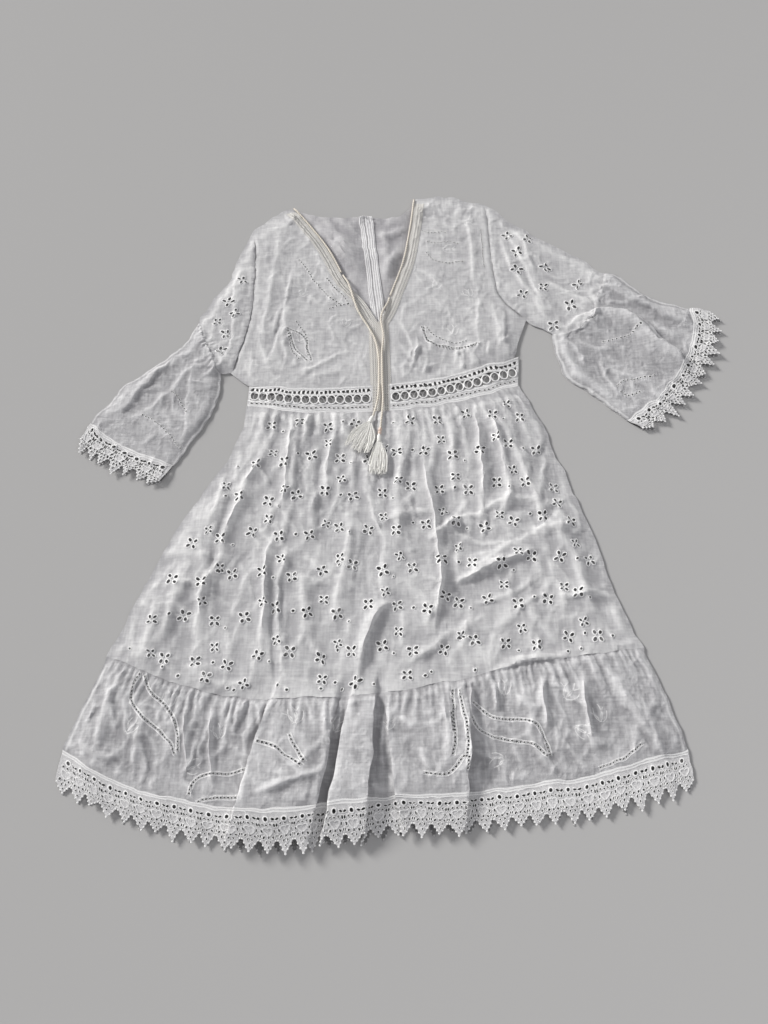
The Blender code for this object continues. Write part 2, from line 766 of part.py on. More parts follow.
def tube(name, points, radius, material):
    """A cord along its points, with filled ends."""
    curve = bpy.data.curves.new(name, "CURVE")
    curve.dimensions = "3D"
    curve.bevel_depth = radius
    curve.bevel_resolution = 2
    curve.use_fill_caps = True
    spline = curve.splines.new("POLY")
    spline.points.add(len(points) - 1)
    for knot, point in zip(spline.points, points):
        knot.co = (point[0] - MIDDLE[0], point[1] - MIDDLE[1], point[2], 1.0)
    curve.materials.append(material)
    piece = bpy.data.objects.new(name, curve)
    DRESS.objects.link(piece)
    return piece


def bodice_low(side, centre):
    """Lower edge of a bodice half on the waist seam, from the centre outwards."""
    if side == "left":
        return list(reversed(stretch(WAIST_TOP_LINE, WAIST_TOP[0][0], centre)))
    return stretch(WAIST_TOP_LINE, centre, WAIST_TOP[-1][0])


def back_pieces():
    """The back of the dress, flat on the surface."""
    for side, column in (("left", 0), ("right", 1)):
        sign = -1 if side == "left" else 1
        centre = [Vector(spot) + Vector((sign * 0.0001, 0.0)) for spot in smooth(OPENING, 8)]
        centre[-1].y = seam_y(WAIST_TOP_LINE, centre[-1].x)
        low = bodice_low(side, centre[-1].x)
        arm = list(reversed(smooth(ARMHOLE[side], 10)))
        shoulder = list(reversed(smooth(SHOULDER[side], 6)))
        back_neck = [spot for spot in smooth(BACK_NECK, 24) if (spot.x - centre[0].x) * sign > 0.002]
        if side == "left":
            back_neck.reverse()
        neck = list(reversed(back_neck)) + [centre[0]]
        outline = low + arm + shoulder + neck + centre
        panel(f"back_bodice_{side}", outline, back_plain, COTTON)
    body = WAIST_LOW_LINE + list(reversed(WAIST_TOP_LINE))
    holes = ring_row(WAIST_LOW[0][0] + BAND_END, WAIST_LOW[-1][0] - BAND_END, BACK_RINGS, BACK_RING_SIDES)
    panel("back_waistband", body, back_plain, LACE, holes=holes)
    panel("back_skirt", body_outline(RUFFLE_LINE, WAIST_LOW_LINE), back_plain, COTTON)
    panel("back_ruffle", body_outline(LACE_LINE, RUFFLE_LINE), back_plain, VOILE)
    lace("back_hem_lace", LACE_LINE, HEM, back_plain, False)
    for side in SLEEVE:
        upper, flare = sleeve_outlines(side)
        panel(f"back_sleeve_{side}", upper, back_plain, COTTON)
        panel(f"back_flare_{side}", flare, back_plain, VOILE)
        cuff_seam = smooth(SLEEVE[side]["lace_seam"], CUFF_STEPS)
        lace(f"back_cuff_lace_{side}", cuff_seam, SLEEVE[side]["points"], back_plain, False)


def sleeve_outlines(side):
    """Outlines of the upper sleeve and of its flare, the same for front and back."""
    cut = SLEEVE[side]
    seam = smooth(cut["flare_seam"], 16)
    upper = smooth(cut["outer"], 8) + seam + list(reversed(smooth(cut["inner"], 2)))
    upper += list(reversed(smooth(ARMHOLE[side], 10)))
    flare = smooth(cut["flare_outer"], 8) + smooth(cut["lace_seam"], CUFF_STEPS)
    flare += list(reversed(smooth(cut["flare_inner"], 8))) + list(reversed(seam))
    return upper, flare


def sleeve_front(side):
    """Height of the front of a sleeve: down at its edges, ridged along its folds."""
    cut = SLEEVE[side]
    edges = []
    for name in ("outer", "inner", "flare_outer", "flare_inner"):
        edges.extend(smooth(cut[name], 16))
    arm = smooth(ARMHOLE[side], 16)
    seam = smooth(cut["flare_seam"], 40)
    rows = gathers(FLARE_GATHERS[side], 5, GATHER_REACH["flare"])
    flare_end = Vector(cut["lace_seam"][1]) - seam[20]

    def height(x, y):
        spot = Vector((x, y))
        edge = nearest(spot, edges)
        low = ease(edge / EDGE_REACH)
        fade = low * ease(nearest(spot, arm) / EDGE_REACH)
        lift = low * BODICE_PUFF + fade * ridge_height(x, y, SLEEVE_RIDGES[side])
        near = min(range(len(seam)), key=lambda number: (seam[number] - spot).length)
        down = (spot - seam[near]).length
        if (spot - seam[near]).dot(flare_end) > 0:
            lift += gather_height(rows, near / 40, down) * ease(edge / GATHER_FADE)
        return REST + lift, 0.0

    return height, rows, seam, flare_end


def front_sleeves():
    """Both sleeves: upper, flare and cuff lace."""
    for side in SLEEVE:
        cut = SLEEVE[side]
        upper, flare = sleeve_outlines(side)
        height, rows, seam, way = sleeve_front(side)
        ends = []
        for share, high, reach in rows[1:-1]:
            spot = spaced(seam, [share])[0]
            for down in (0.008, 0.026):
                ends.append(spot + way.normalized() * down)
        petals = petals_in(upper, SLEEVE_MARGIN)
        panel(f"front_sleeve_{side}", upper, height, COTTON, 0.026, holes=petals)
        panel(f"front_flare_{side}", flare, height, VOILE, 0.024, inner=ends, draw=FULL_SEAM)
        cuff_seam = smooth(cut["lace_seam"], CUFF_STEPS)
        lace(f"front_cuff_lace_{side}", cuff_seam, cut["points"], height, False)


def front_bodice(side):
    """One front of the bodice with the trim along its neck edge and centre front."""
    sign = -1 if side == "left" else 1
    top = Vector(CENTRE_TOP)
    foot = Vector((CENTRE_LOW, seam_y(WAIST_TOP_LINE, CENTRE_LOW)))
    centre = [top.lerp(foot, share) for share in TRIM_STEPS]
    low = bodice_low(side, CENTRE_LOW)[1:]
    arm = list(reversed(smooth(ARMHOLE[side], 10)))
    shoulder = list(reversed(smooth(SHOULDER[side], 6)))
    neck = smooth(NECK[side], 18)

    strip_foot = foot + Vector((sign * FRONT_LACE / 2, 0.0))
    strip_foot.y = seam_y(WAIST_TOP_LINE, strip_foot.x)
    low = [strip_foot] + [point for point in low if (point.x - strip_foot.x) * sign > CLEAR]
    outline = centre + low + arm + shoulder + neck[:-1]
    strip = [point + Vector((sign * FRONT_LACE / 2, 0.0)) for point in centre[1:-1]] + [strip_foot]
    strip_line = [centre[1]] + strip
    trim = [point + Vector((sign, -NECK_TRIM_SLOPE)) * NECK_TRIM for point in neck[2:-3]]
    trim_line = [neck[1]] + trim + [neck[-3]]
    lines = (trim_line, strip_line)
    base = panel(f"front_bodice_{side}", outline, bodice_front, COTTON, 0.026, lines=lines)
    open_side = Vector((-sign * NECK_TRIM, 0.0))
    beyond = [point + open_side for point in neck[1:-2]]
    laid_on(f"neck_trim_{side}", base, trim_line + list(reversed(beyond)), bodice_front, TRIMMING)
    beyond = [point + open_side for point in centre[1:]]
    laid_on(f"front_lace_{side}", base, strip_line + list(reversed(beyond)), bodice_front, LACE)


def front_body():
    """Waistband, skirt, ruffle and hem lace of the front."""
    left = CENTRE_FRONT - CENTRE_STRIP / 2
    right = CENTRE_FRONT + CENTRE_STRIP / 2
    band("front_waistband_left", None, left, True)
    band("front_waistband_centre", left, right, False)
    band("front_waistband_right", right, None, True)

    skirt_rows = gathers(SKIRT_GATHERS, 11, GATHER_REACH["skirt"])
    shares = [row[0] for row in skirt_rows]

    def skirt(x, y):
        high, push = body_front(x, y)
        down = max(seam_y(WAIST_LOW_LINE, x * SKIRT_SPREAD) - y, 0.0)
        edge = min(x - side_x(y, 1), side_x(y, 2) - x)
        return high + gather_height(skirt_rows, side_share(x, y), down) * ease(edge / GATHER_FADE), push

    outline = body_outline(RUFFLE_LINE, WAIST_LOW_LINE, shares)
    inner = rows_below(WAIST_LOW_LINE, (0.030,), shares[1:-1])
    petals = petals_in(outline)
    panel("front_skirt", outline, skirt, COTTON, 0.040, inner=inner, holes=petals, draw=FULL_SEAM)

    ruffle_rows = gathers(RUFFLE_GATHERS, 23, GATHER_REACH["ruffle"])
    ruffle_shares = [row[0] for row in ruffle_rows]

    def ruffle(x, y):
        high, push = body_front(x, y)
        down = max(seam_y(RUFFLE_LINE, x) - y, 0.0)
        edge = min(x - side_x(y, 1), side_x(y, 2) - x)
        return high + gather_height(ruffle_rows, side_share(x, y), down) * ease(edge / GATHER_FADE), push

    outline = body_outline(LACE_LINE, RUFFLE_LINE, ruffle_shares)
    inner = rows_below(RUFFLE_LINE, (0.022,), ruffle_shares[1:-1])
    inner += flap_points((0.140, 0.122, 0.104, 0.086, 0.068, 0.054))
    panel("front_ruffle", outline, ruffle, VOILE, 0.032, inner=inner)
    lace("front_hem_lace", LACE_LINE, HEM, body_front, True, flap_points((0.032, 0.020, 0.008)))


def opening_strips():
    """The two finished edges of the back opening, seen inside the neck."""
    line = smooth(OPENING[:4], 8)
    for side, sign in (("left", -1), ("right", 1)):
        near = [point + Vector((sign * 0.0004, 0.0)) for point in line]
        far = [point + Vector((sign * STRIP_WIDE, 0.0)) for point in line]
        net_points, faces = net(tidy_loop(near + list(reversed(far))), [], [], [])
        sheet(f"opening_strip_{side}", net_points, faces, strip_height, COTTON, TRIM)


def strip_height(x, y):
    """The strips lie on the back."""
    return REST, 0.0


def neck_cord(side):
    """The cord that finishes a neck edge, beside the edge on the open side."""
    sign = 1 if side == "left" else -1
    line = smooth(NECK[side], 60)
    run = NECK_CORD_PART[side] - NECK_CORD_START
    shares = [NECK_CORD_START + run * number / NECK_CORD_STEPS for number in range(NECK_CORD_STEPS + 1)]
    edge = spaced(line, shares)
    ahead = spaced(line, [share + 0.004 for share in shares])
    points = []
    for number, (point, later) in enumerate(zip(edge, ahead)):
        way = (later - point).normalized()
        spot = point + Vector((-way.y, way.x)) * NECK_CORD_OFF * sign
        rise = ease(number / 2.5)
        high = NECK_CORD_HIGH[0] + (NECK_CORD_HIGH[1] - NECK_CORD_HIGH[0]) * rise
        points.append(Vector((spot.x, spot.y, high)))
    tube(f"neck_cord_{side}", points, CORD / 2, CORDING)


def tie(side):
    """The free end of the neck cord."""
    tube(f"tie_{side}", smooth(TIES[side], TIE_POINTS), CORD / 2, CORDING)


def tassel(side):
    """A flat tassel: a bound head with its locks fused to it, fanned out at their ends."""
    root, tip, spread = TASSELS[side]
    root = Vector((root[0] - MIDDLE[0], root[1] - MIDDLE[1], root[2]))
    tip = Vector((tip[0] - MIDDLE[0], tip[1] - MIDDLE[1], tip[2]))
    along = (tip - root).normalized()
    across = along.cross(Vector((0.0, 0.0, 1.0))).normalized()
    up = across.cross(along)
    wide, deep, thick = TASSEL_HEAD
    shape = bmesh.new()
    bmesh.ops.create_grid(shape, x_segments=LOCKS[0], y_segments=LOCKS[1], size=0.5)
    bottom = list(shape.faces)
    for corner in shape.verts:
        u, w = corner.co.x, corner.co.y
        corner.co = root + along * deep + across * (u * wide) + up * (w * thick)
    top = bmesh.ops.extrude_face_region(shape, geom=bottom, use_keep_orig=True)
    for corner in [item for item in top["geom"] if isinstance(item, bmesh.types.BMVert)]:
        corner.co -= along * deep
    bmesh.ops.inset_individual(shape, faces=bottom, thickness=LOCK_GAP)
    ends = bmesh.ops.extrude_discrete_faces(shape, faces=bottom)["faces"]
    for face in ends:
        middle = face.calc_center_median() - root
        u = middle.dot(across) / wide
        w = middle.dot(up) / thick
        goal = tip + across * (u * spread) + up * (w * LOCK_END)
        goal -= along * (LOCK_ROUND * (2 * u) ** 2)
        for corner in face.verts:
            own = corner.co - root - middle
            grown_u = own.dot(across) * spread / wide * LOCK_WIDE
            grown_w = own.dot(up) * LOCK_THICK
            corner.co = goal + across * grown_u + up * grown_w
    bmesh.ops.recalc_face_normals(shape, faces=shape.faces)
    mesh = bpy.data.meshes.new(f"tassel_{side}")
    shape.to_mesh(mesh)
    shape.free()
    mesh.materials.append(CORDING)
    DRESS.objects.link(bpy.data.objects.new(f"tassel_{side}", mesh))


def bead(number):
    """A small round bead on the right tie."""
    x, y, z = BEADS[number]
    bpy.ops.mesh.primitive_uv_sphere_add(segments=8, ring_count=6, radius=BEAD_SIZE / 2,
                                         location=(x - MIDDLE[0], y - MIDDLE[1], z))
    piece = bpy.context.object
    piece.name = f"bead_{number + 1}"
    piece.data.materials.append(BEAD)
    for home in piece.users_collection:
        home.objects.unlink(piece)
    DRESS.objects.link(piece)


def build():
    """All pieces of the dress."""
    back_pieces()
    opening_strips()
    for side in ("left", "right"):
        front_bodice(side)
    front_body()
    front_sleeves()
    for side in ("left", "right"):
        neck_cord(side)
        tie(side)
        tassel(side)
    for number in range(len(BEADS)):
        bead(number)


for leftover in list(bpy.data.objects):
    bpy.data.objects.remove(leftover, do_unlink=True)

DRESS = bpy.data.collections.new("summer_dress")
bpy.context.scene.collection.children.link(DRESS)
COTTON = finish("cotton", (0.86, 0.85, 0.83), 0.85)
VOILE = finish("voile", (0.80, 0.80, 0.79), 0.85)
LACE = finish("lace", (0.90, 0.90, 0.89), 0.80)
TRIMMING = finish("trimming", (0.84, 0.80, 0.73), 0.85)
CORDING = finish("cording", (0.80, 0.74, 0.64), 0.80)
BEAD = finish("bead", (0.72, 0.58, 0.49), 0.45)
WAIST_TOP_LINE = smooth(WAIST_TOP, 20)
WAIST_LOW_LINE = smooth(WAIST_LOW, 20)
RUFFLE_LINE = smooth(RUFFLE_SEAM, 24)
LACE_LINE = with_flaps(smooth(LACE_SEAM, 26))
ARM_LINES = smooth(ARMHOLE["left"], 20) + smooth(ARMHOLE["right"], 20)
SIDE_LINES = smooth(SHOULDER["left"], 8) + smooth(SHOULDER["right"], 8)
SIDE_LINES += smooth((ARMHOLE["left"][-1], WAIST_TOP[0]), 4) + smooth((ARMHOLE["right"][-1], WAIST_TOP[-1]), 6)

build()
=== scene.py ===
"""Looks of the summer dress: white cotton cutwork laid flat on its back.

Places are read on the surface that the dress lies on, from the point below the camera. Sizes are in metres,
rows of points in millimetres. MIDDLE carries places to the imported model. The hem points to -Y, the front is up.
"""

import math
import random

import bpy
import numpy as np
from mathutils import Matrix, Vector
from mathutils.geometry import delaunay_2d_cdt


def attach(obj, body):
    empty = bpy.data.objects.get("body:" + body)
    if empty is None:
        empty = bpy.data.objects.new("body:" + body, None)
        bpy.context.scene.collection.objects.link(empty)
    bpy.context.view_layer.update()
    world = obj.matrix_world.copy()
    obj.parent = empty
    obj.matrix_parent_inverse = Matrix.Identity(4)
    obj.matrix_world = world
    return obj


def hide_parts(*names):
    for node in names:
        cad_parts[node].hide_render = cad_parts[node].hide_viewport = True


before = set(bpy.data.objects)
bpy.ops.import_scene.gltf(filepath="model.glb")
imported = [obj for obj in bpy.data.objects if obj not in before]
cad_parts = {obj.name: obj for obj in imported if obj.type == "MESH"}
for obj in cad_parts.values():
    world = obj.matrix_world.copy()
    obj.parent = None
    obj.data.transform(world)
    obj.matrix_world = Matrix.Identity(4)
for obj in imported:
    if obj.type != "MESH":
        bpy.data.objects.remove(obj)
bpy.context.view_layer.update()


def route(*numbers):
    """Points on the surface from x, y, x, y and so on in millimetres."""
    return tuple((x / 1000, y / 1000) for x, y in zip(numbers[::2], numbers[1::2]))


def in_space(*numbers):
    """Places from x, y, z, x and so on in tenths of a millimetre."""
    return tuple(tuple(number / 10000 for number in numbers[at:at + 3]) for at in range(0, len(numbers), 3))


def routes(*rows):
    """Several routes."""
    return tuple(route(*row) for row in rows)


def laid_over(*rows):
    """Edges of laid-over folds: raised side (1 left of travel, -1 right), height in tenths of a millimetre
    and route."""
    return tuple((route(*spots), side, high / 10000) for side, high, *spots in rows)


def creases(*rows):
    """Creases: half width in millimetres, lean, height in tenths of a millimetre, route."""
    return tuple((route(*spots), wide / 1000, lean, high / 10000) for wide, lean, high, *spots in rows)


def sprays(*rows):
    """Sprays of satin stitches: x, y, turn in degrees and length."""
    return tuple(((x / 1000, y / 1000), turn, long / 1000) for x, y, turn, long in rows)


# Place of the dress
MIDDLE = np.array((0.0374, 0.4686))
CAMERA_HIGH = 0.98
CAMERA_TILT = 22.4
CAMERA_LENS = 27.42

FLOOR_SIZE = 80.0
FLOOR_GAP = 0.0004

# Cloth
REST = 0.0015
THIN = 0.0005
PUFF = 0.0042
PUFF_REACH = 0.045
WAIST_FADE = 0.018
BODICE_PUFF = 0.0025
EDGE_REACH = 0.026
SLEEVE_EDGE_REACH = 0.016
FOLD_SHARE = {"left": 0.55, "right": 0.80}
SIDE_FADE = 0.020

# Rows of points further apart than this aren't joined up
RAIL_GAP = 0.006

# A sheet that fills less of its box than this has half the length of its outline worked out, which nothing uses
NARROW = 0.45

# Cutwork: hole of a petal, how far out it lies, width of its stitched rim and height of the rim
PETAL = (0.0056, 0.0038)
PETAL_OUT = 0.0054
RIM = 0.0014
RIM_HIGH = 0.00065
REPEAT_WIDE = 0.078
REPEAT_TALL = 0.0545
REPEAT_START = (-0.0410, 0.2130)
REPEAT_SLOPE = 0.06
COMPANION = (0.0220, 0.0180)
EYELETS = ((-0.0175, 0.0020, 0.0038), (0.0150, -0.0085, 0.0030))

# Body sides from the hem up: y, left and right
SIDES = np.array((
    (40, -391, 371), (94, -388, 366), (154, -368, 351), (226, -341, 322), (292, -316, 299),
    (350, -291, 286), (400, -266, 271), (446, -240, 256), (481, -219, 244), (527, -199, 229),
    (566, -196, 213), (601, -206, 197), (625, -226, 199), (664, -226, 201), (716, -226, 215),
)) / 1000

# Seams across the body, from left to right
WAIST_TOP = route(-208, 602, -121, 597, -18, 600, 60, 610, 114, 624, 200, 651)
WAIST_LOW = route(-197, 569, -119, 555, -19, 556, 59, 563, 112, 573, 198, 602)
RUFFLE_SEAM = route(-350, 206, -241, 167, -170, 154, -33, 157, 80, 174, 185, 198, 328, 217)
LACE_SEAM = route(
    -388, 92, -321, 59, -259, 41, -164, 28, -90, 32, 28, 43, 102, 45, 170, 54, 241, 64, 298, 78, 367, 94
)
HEM = route(
    -390, 46, -343, 26, -256, -3, -150, -21, -51, -14, 7, -3, 84, -1, 150, 6, 231, 12, 289, 23, 371, 47
)

# Bodice lines from the shoulder down
ARMHOLE = {
    "left": route(-207, 887, -203, 851, -199, 800, -201, 740, -208, 680, -225, 624),
    "right": route(164, 942, 167, 869, 169, 800, 181, 752, 215, 716),
}
SHOULDER = {
    "left": route(-149, 933, -166, 924, -207, 887),
    "right": route(51, 953, 90, 958, 164, 942),
}
NECK = {
    "left": route(-149, 933, -120, 894, -88, 845, -59, 784, -30, 748, -10, 711),
    "right": route(51, 953, 44, 894, 32, 824, 14, 766, 4, 735, -7, 711),
}
BACK_NECK = route(-149, 933, -100, 913, -35, 915, 24, 915, 51, 953)
OPENING = route(-33, 915, -25, 850, -17, 780, -8, 700, -5, 590)
CENTRE_TOP = (-0.0085, 0.7110)
CENTRE_LOW = -0.0045

# Sleeves: edges from the body to the cuff, seam of the flare, seam of the lace and line of its points
SLEEVE = {
    "left": {
        "outer": route(-207, 887, -222, 850, -236, 799, -261, 752, -281, 712),
        "inner": route(-225, 624, -238, 622),
        "flare_seam": route(-281, 712, -258, 664, -238, 622),
        "flare_outer": route(-281, 712, -300, 668, -326, 647, -367, 610, -398, 574, -417, 540),
        "flare_inner": route(-238, 622, -246, 562, -271, 509, -295, 472),
        "lace_seam": route(-417, 540, -384, 515, -340, 493, -295, 472),
        "points": route(-434, 502, -402, 473, -359, 456, -316, 438),
    },
    "right": {
        "outer": route(164, 942, 189, 920, 207, 898, 247, 873, 294, 838, 340, 803),
        "inner": route(215, 716, 251, 692),
        "flare_seam": route(340, 803, 318, 737, 286, 700, 251, 692),
        "flare_outer": route(340, 803, 358, 798, 390, 772, 420, 751, 464, 739),
        "flare_inner": route(251, 692, 262, 623, 285, 600, 315, 572, 346, 548),
        "lace_seam": route(464, 739, 458, 682, 432, 630, 400, 587, 346, 548),
        "points": route(505, 728, 497, 667, 466, 614, 432, 569, 376, 521),
    },
}

# Pressed-over folds that run out at the hem
FLAPS = (
    # y at top, left and right at top, left and right at hem, height, overhang
    (0.200, -0.128, -0.048, -0.176, -0.094, 0.0125, 0.0110),
    (0.215, -0.030, -0.006, -0.066, -0.030, 0.0140, 0.0120),
    (0.195, -0.004, 0.108, 0.028, 0.086, 0.0095, 0.0110),
)
HEM_LEVEL = -0.010
FLAP_FLANK = 0.0085

# Neck cord and its free ties
CORD = 0.0030
NECK_CORD_START = 0.012
NECK_CORD_PART = {"left": 0.585, "right": 0.795}
NECK_CORD_OFF = 0.0021
NECK_CORD_HIGH = (0.0031, 0.0052)
TIES = {
    "left": in_space(
        -632, 7975, 52, -600, 7905, 68, -563, 7835, 84, -530, 7755, 86, -492, 7630, 84, -450, 7470, 83,
        -400, 7310, 82, -320, 7150, 81, -225, 6980, 82, -130, 6760, 84, -82, 6500, 84, -72, 6230, 85,
        -72, 6020, 88, -78, 5850, 90, -102, 5680, 95, -134, 5540, 104, -160, 5450, 112
    ),
    "right": in_space(
        83, 7552, 52, 65, 7470, 64, 30, 7385, 77, -12, 7300, 82, -40, 7200, 83, -44, 7100, 84,
        -26, 6980, 84, -8, 6850, 84, -18, 6700, 84, -32, 6550, 84, -28, 6400, 84, -26, 6210, 85,
        -22, 6000, 88, -14, 5750, 91, -30, 5500, 104, -44, 5350, 109, -48, 5280, 110
    ),
}
TASSELS = {
    # middle of the head's top, middle between the ends of the strands, spread of the ends
    "left": ((-0.0163, 0.5444, 0.0122), (-0.0375, 0.4930, 0.0144), 0.038),
    "right": ((-0.0068, 0.5158, 0.0120), (-0.0085, 0.4580, 0.0128), 0.025),
}
BEADS = ((-0.0053, 0.5249, 0.0112), (-0.0061, 0.5193, 0.0114))
BEAD_SIZE = 0.0052
BEAD_PROFILE = (
    # along, out from the middle
    (-1.0, 0.42), (-0.94, 0.60), (-0.72, 0.86), (-0.35, 0.985), (0.0, 1.0),
    (0.35, 0.985), (0.72, 0.86), (0.94, 0.60), (1.0, 0.42),
)
STRANDS = 124

# Lace and strips
CENTRE_STRIP = 0.024
CENTRE_FRONT = -0.0045
SCALLOP = 0.0205
SCALLOP_RISE = 0.0145
LACE_DROOP = 0.55
NECK_TRIM = 0.015
FRONT_LACE = 0.030
STRIP_WIDE = 0.0085
HEM_DEEP = 0.046
CUFF_DEEP = 0.040
CUFF_OPEN = 1.22
PICOTS = 7
RING_STEP = 0.0127
LACE_RAIL = (0.0010, 0.0006)
LACE_OPENINGS = (
    # across from the middle of the scallop, depth, turn, long, wide, sides
    (0.0, 0.0108, 0.0, 0.0044, 0.0044, 12), (0.0084, 0.0112, 0.4, 0.0044, 0.0026, 7),
    (0.0050, 0.0162, 1.0, 0.0030, 0.0018, 6), (0.0095, 0.0172, 1.45, 0.0042, 0.0022, 7),
    (0.0080, 0.0234, 1.85, 0.0044, 0.0020, 7), (0.0060, 0.0296, 0.8, 0.0036, 0.0022, 7),
    (0.0, 0.0166, 0.0, 0.0022, 0.0022, 6), (0.0026, 0.0336, 1.2, 0.0032, 0.0018, 6),
    (0.0, 0.0386, 1.57, 0.0030, 0.0020, 6), (0.0098, 0.0286, 1.57, 0.0034, 0.0016, 6),
    (0.0, 0.0296, 1.57, 0.0030, 0.0018, 6),
)

# Trimming: its raised rows and rows of dots from the middle, and a dot's turn, size, sides and rim
TRIM_ROWS = (0.0045, 0.0080, 0.0118)
TRIM_RAIL = 0.0007
TRIM_HIGH = 0.0004
TRIM_UP = 0.0005
TAPE_UP = 0.0011
TRIM_DOTS = (0.0063, 0.0099)
DOT = (0.0, (0.0018, 0.0015), 6, 0.0004, 0.0003)

# Raised rows in the cloth: half width, height and how white they are
LADDER_RAIL = (0.0007, 0.00025)
SATIN_RAIL = (0.0008, 0.00022, 0.42)
SIDE_RAIL = (0.0028, 0.0003, 0.30)
SEAM_RAIL = (0.0030, 0.0006, 0.20)
# Fold rails along the edges of laid-over folds on the flares are whiter than the cloth: partly sheer cloth
# doubled at the edge, partly a painted highlight
FOLD_RAIL = (0.0010, 0.0005, 0.75)
LADDER_GAP = 0.0044
LADDER_STEP = 0.0042
DOT_STEP = 0.0050

# Steps of the nets
COARSE = 0.012
NECK_STEP = 0.006
SKIRT_STEP = 0.0037
LACE_STEP = 0.0030
TRIM_STEP = 0.0030
SLEEVE_STEP = 0.0028
FINE = 0.0026
TAPE_STEP = 0.0024

# Ladder-stitched leaves and dotted curves
RUFFLE_LEAVES = routes(
    (-302, 185, -309, 170, -308, 151, -297, 134, -276, 118, -260, 104, -251, 88),
    (-298, 183, -291, 166, -270, 146, -256, 130, -249, 111, -248, 92),
    (-230, 41, -225, 56, -209, 64, -181, 65, -158, 71),
    (-220, 34, -207, 39, -186, 40, -165, 41),
    (-145, 102, -126, 95, -116, 86, -102, 74),
    (-112, 111, -105, 92, -100, 78),
    (109, 148, 125, 136, 147, 130, 169, 128, 184, 123, 193, 107, 197, 86),
    (105, 131, 112, 119, 126, 110, 146, 105, 165, 103, 181, 99, 195, 86),
    (48, 66, 67, 66, 78, 72, 87, 86),
    (256, 72, 281, 82, 299, 91, 310, 100),
    (84, 165, 82, 140, 80, 114, 76, 86),
    (92, 165, 93, 140, 93, 114, 88, 82),
    (80, 137, 78, 112),
    (91, 85, 90, 68),
)
BODICE_LEAVES = routes(
    (-146, 699, -123, 689, -111, 659, -109, 642),
    (-141, 692, -136, 671, -124, 654, -114, 642),
    (60, 702, 64, 680, 80, 668, 110, 664, 139, 673),
)
BODICE_DOTS = routes(
    (66, 863, 87, 860, 103, 865, 119, 860),
    (65, 843, 80, 827, 102, 822, 124, 825),
    (54, 888, 71, 881, 98, 882),
    (153, 888, 155, 863, 156, 839, 155, 812),
    (57, 703, 66, 678, 81, 666, 102, 661, 123, 666, 143, 672),
    (64, 703, 77, 685, 97, 675, 123, 678),
    (-89, 793, -75, 773, -61, 757, -50, 738),
    (-85, 734, -69, 741, -53, 744),
    (-133, 829, -113, 799, -91, 766, -64, 739),
    (38, 853, 29, 820, 21, 779),
    (-144, 696, -137, 664, -124, 643),
    (-133, 714, -117, 686, -112, 650),
)
SLEEVE_LEAVES = {"left": (), "right": routes((285, 700, 300, 713, 316, 720))}
SLEEVE_DOTS = {
    "left": routes(
        (-345, 553, -326, 540, -306, 524, -284, 498),
        (-311, 592, -295, 579, -281, 554),
    ),
    "right": routes(
        (334, 599, 351, 607, 370, 610, 394, 616),
        (338, 591, 355, 583, 374, 589),
        (322, 673, 356, 682, 385, 700),
    ),
}

# Flowers on the sleeves and above the cuff lace
SLEEVE_FLOWER_SCALE = {"left": 1.0, "right": 1.15}
SLEEVE_FLOWERS = {
    "left": route(
        -223, 841, -224, 808, -218, 785, -234, 749, -224, 727, -250, 711, -237, 689, -276, 689, -260, 661,
        -240, 661, -219, 871
    ),
    "right": route(
        208, 842, 252, 812, 298, 779, 245, 774, 283, 742, 206, 808, 212, 762, 252, 705, 227, 867, 308, 714,
        277, 839, 195, 875
    ),
}
FLARE_FLOWERS = {
    "left": route(-371, 495, -338, 479, -404, 511, -300, 467),
    "right": route(451, 670, 469, 698, 432, 640, 415, 611, 388, 586, 368, 564),
}

# Flowers and eyelets along the ruffle seam
SEAM_FLOWERS = route(
    -299, 206, -220, 179, -174, 171, -94, 176, 94, 187, 30, 182, 177, 197, 270, 228, -35, 173
)
SEAM_EYELETS = route(
    -277, 192, -257, 182, -186, 164, -194, 167, -131, 168, -119, 164, -79, 165, -62, 172, -52, 165, -15,
    170, 51, 180, 59, 185, 113, 188, 123, 185, 161, 191, 196, 200, 230, 212, 248, 216, 291, 233, -320, 215
)

# Sprays of fine satin stitches: place, turn in degrees, length
RUFFLE_SPRAYS = sprays(
    (221, 149, 60, 22),
    (231, 119, -20, 20),
    (152, 155, 110, 18),
    (-107, 119, 100, 20),
    (-269, 138, 80, 20),
    (-238, 70, 20, 18),
    (-60, 111, 70, 16),
    (-199, 102, 100, 18),
    (146, 85, 200, 18),
    (7, 111, 80, 16),
    (264, 123, 100, 20),
    (-311, 111, 60, 18),
)
BODICE_SPRAYS = sprays(
    (91, 847, 20, 18),
    (74, 770, 60, 18),
    (132, 755, 120, 16),
    (-128, 673, 70, 16),
    (-80, 777, -40, 16),
    (102, 686, 90, 16),
    (125, 899, 10, 14),
    (-129, 755, 60, 14),
    (43, 802, 100, 14),
    (-59, 700, 80, 14),
)

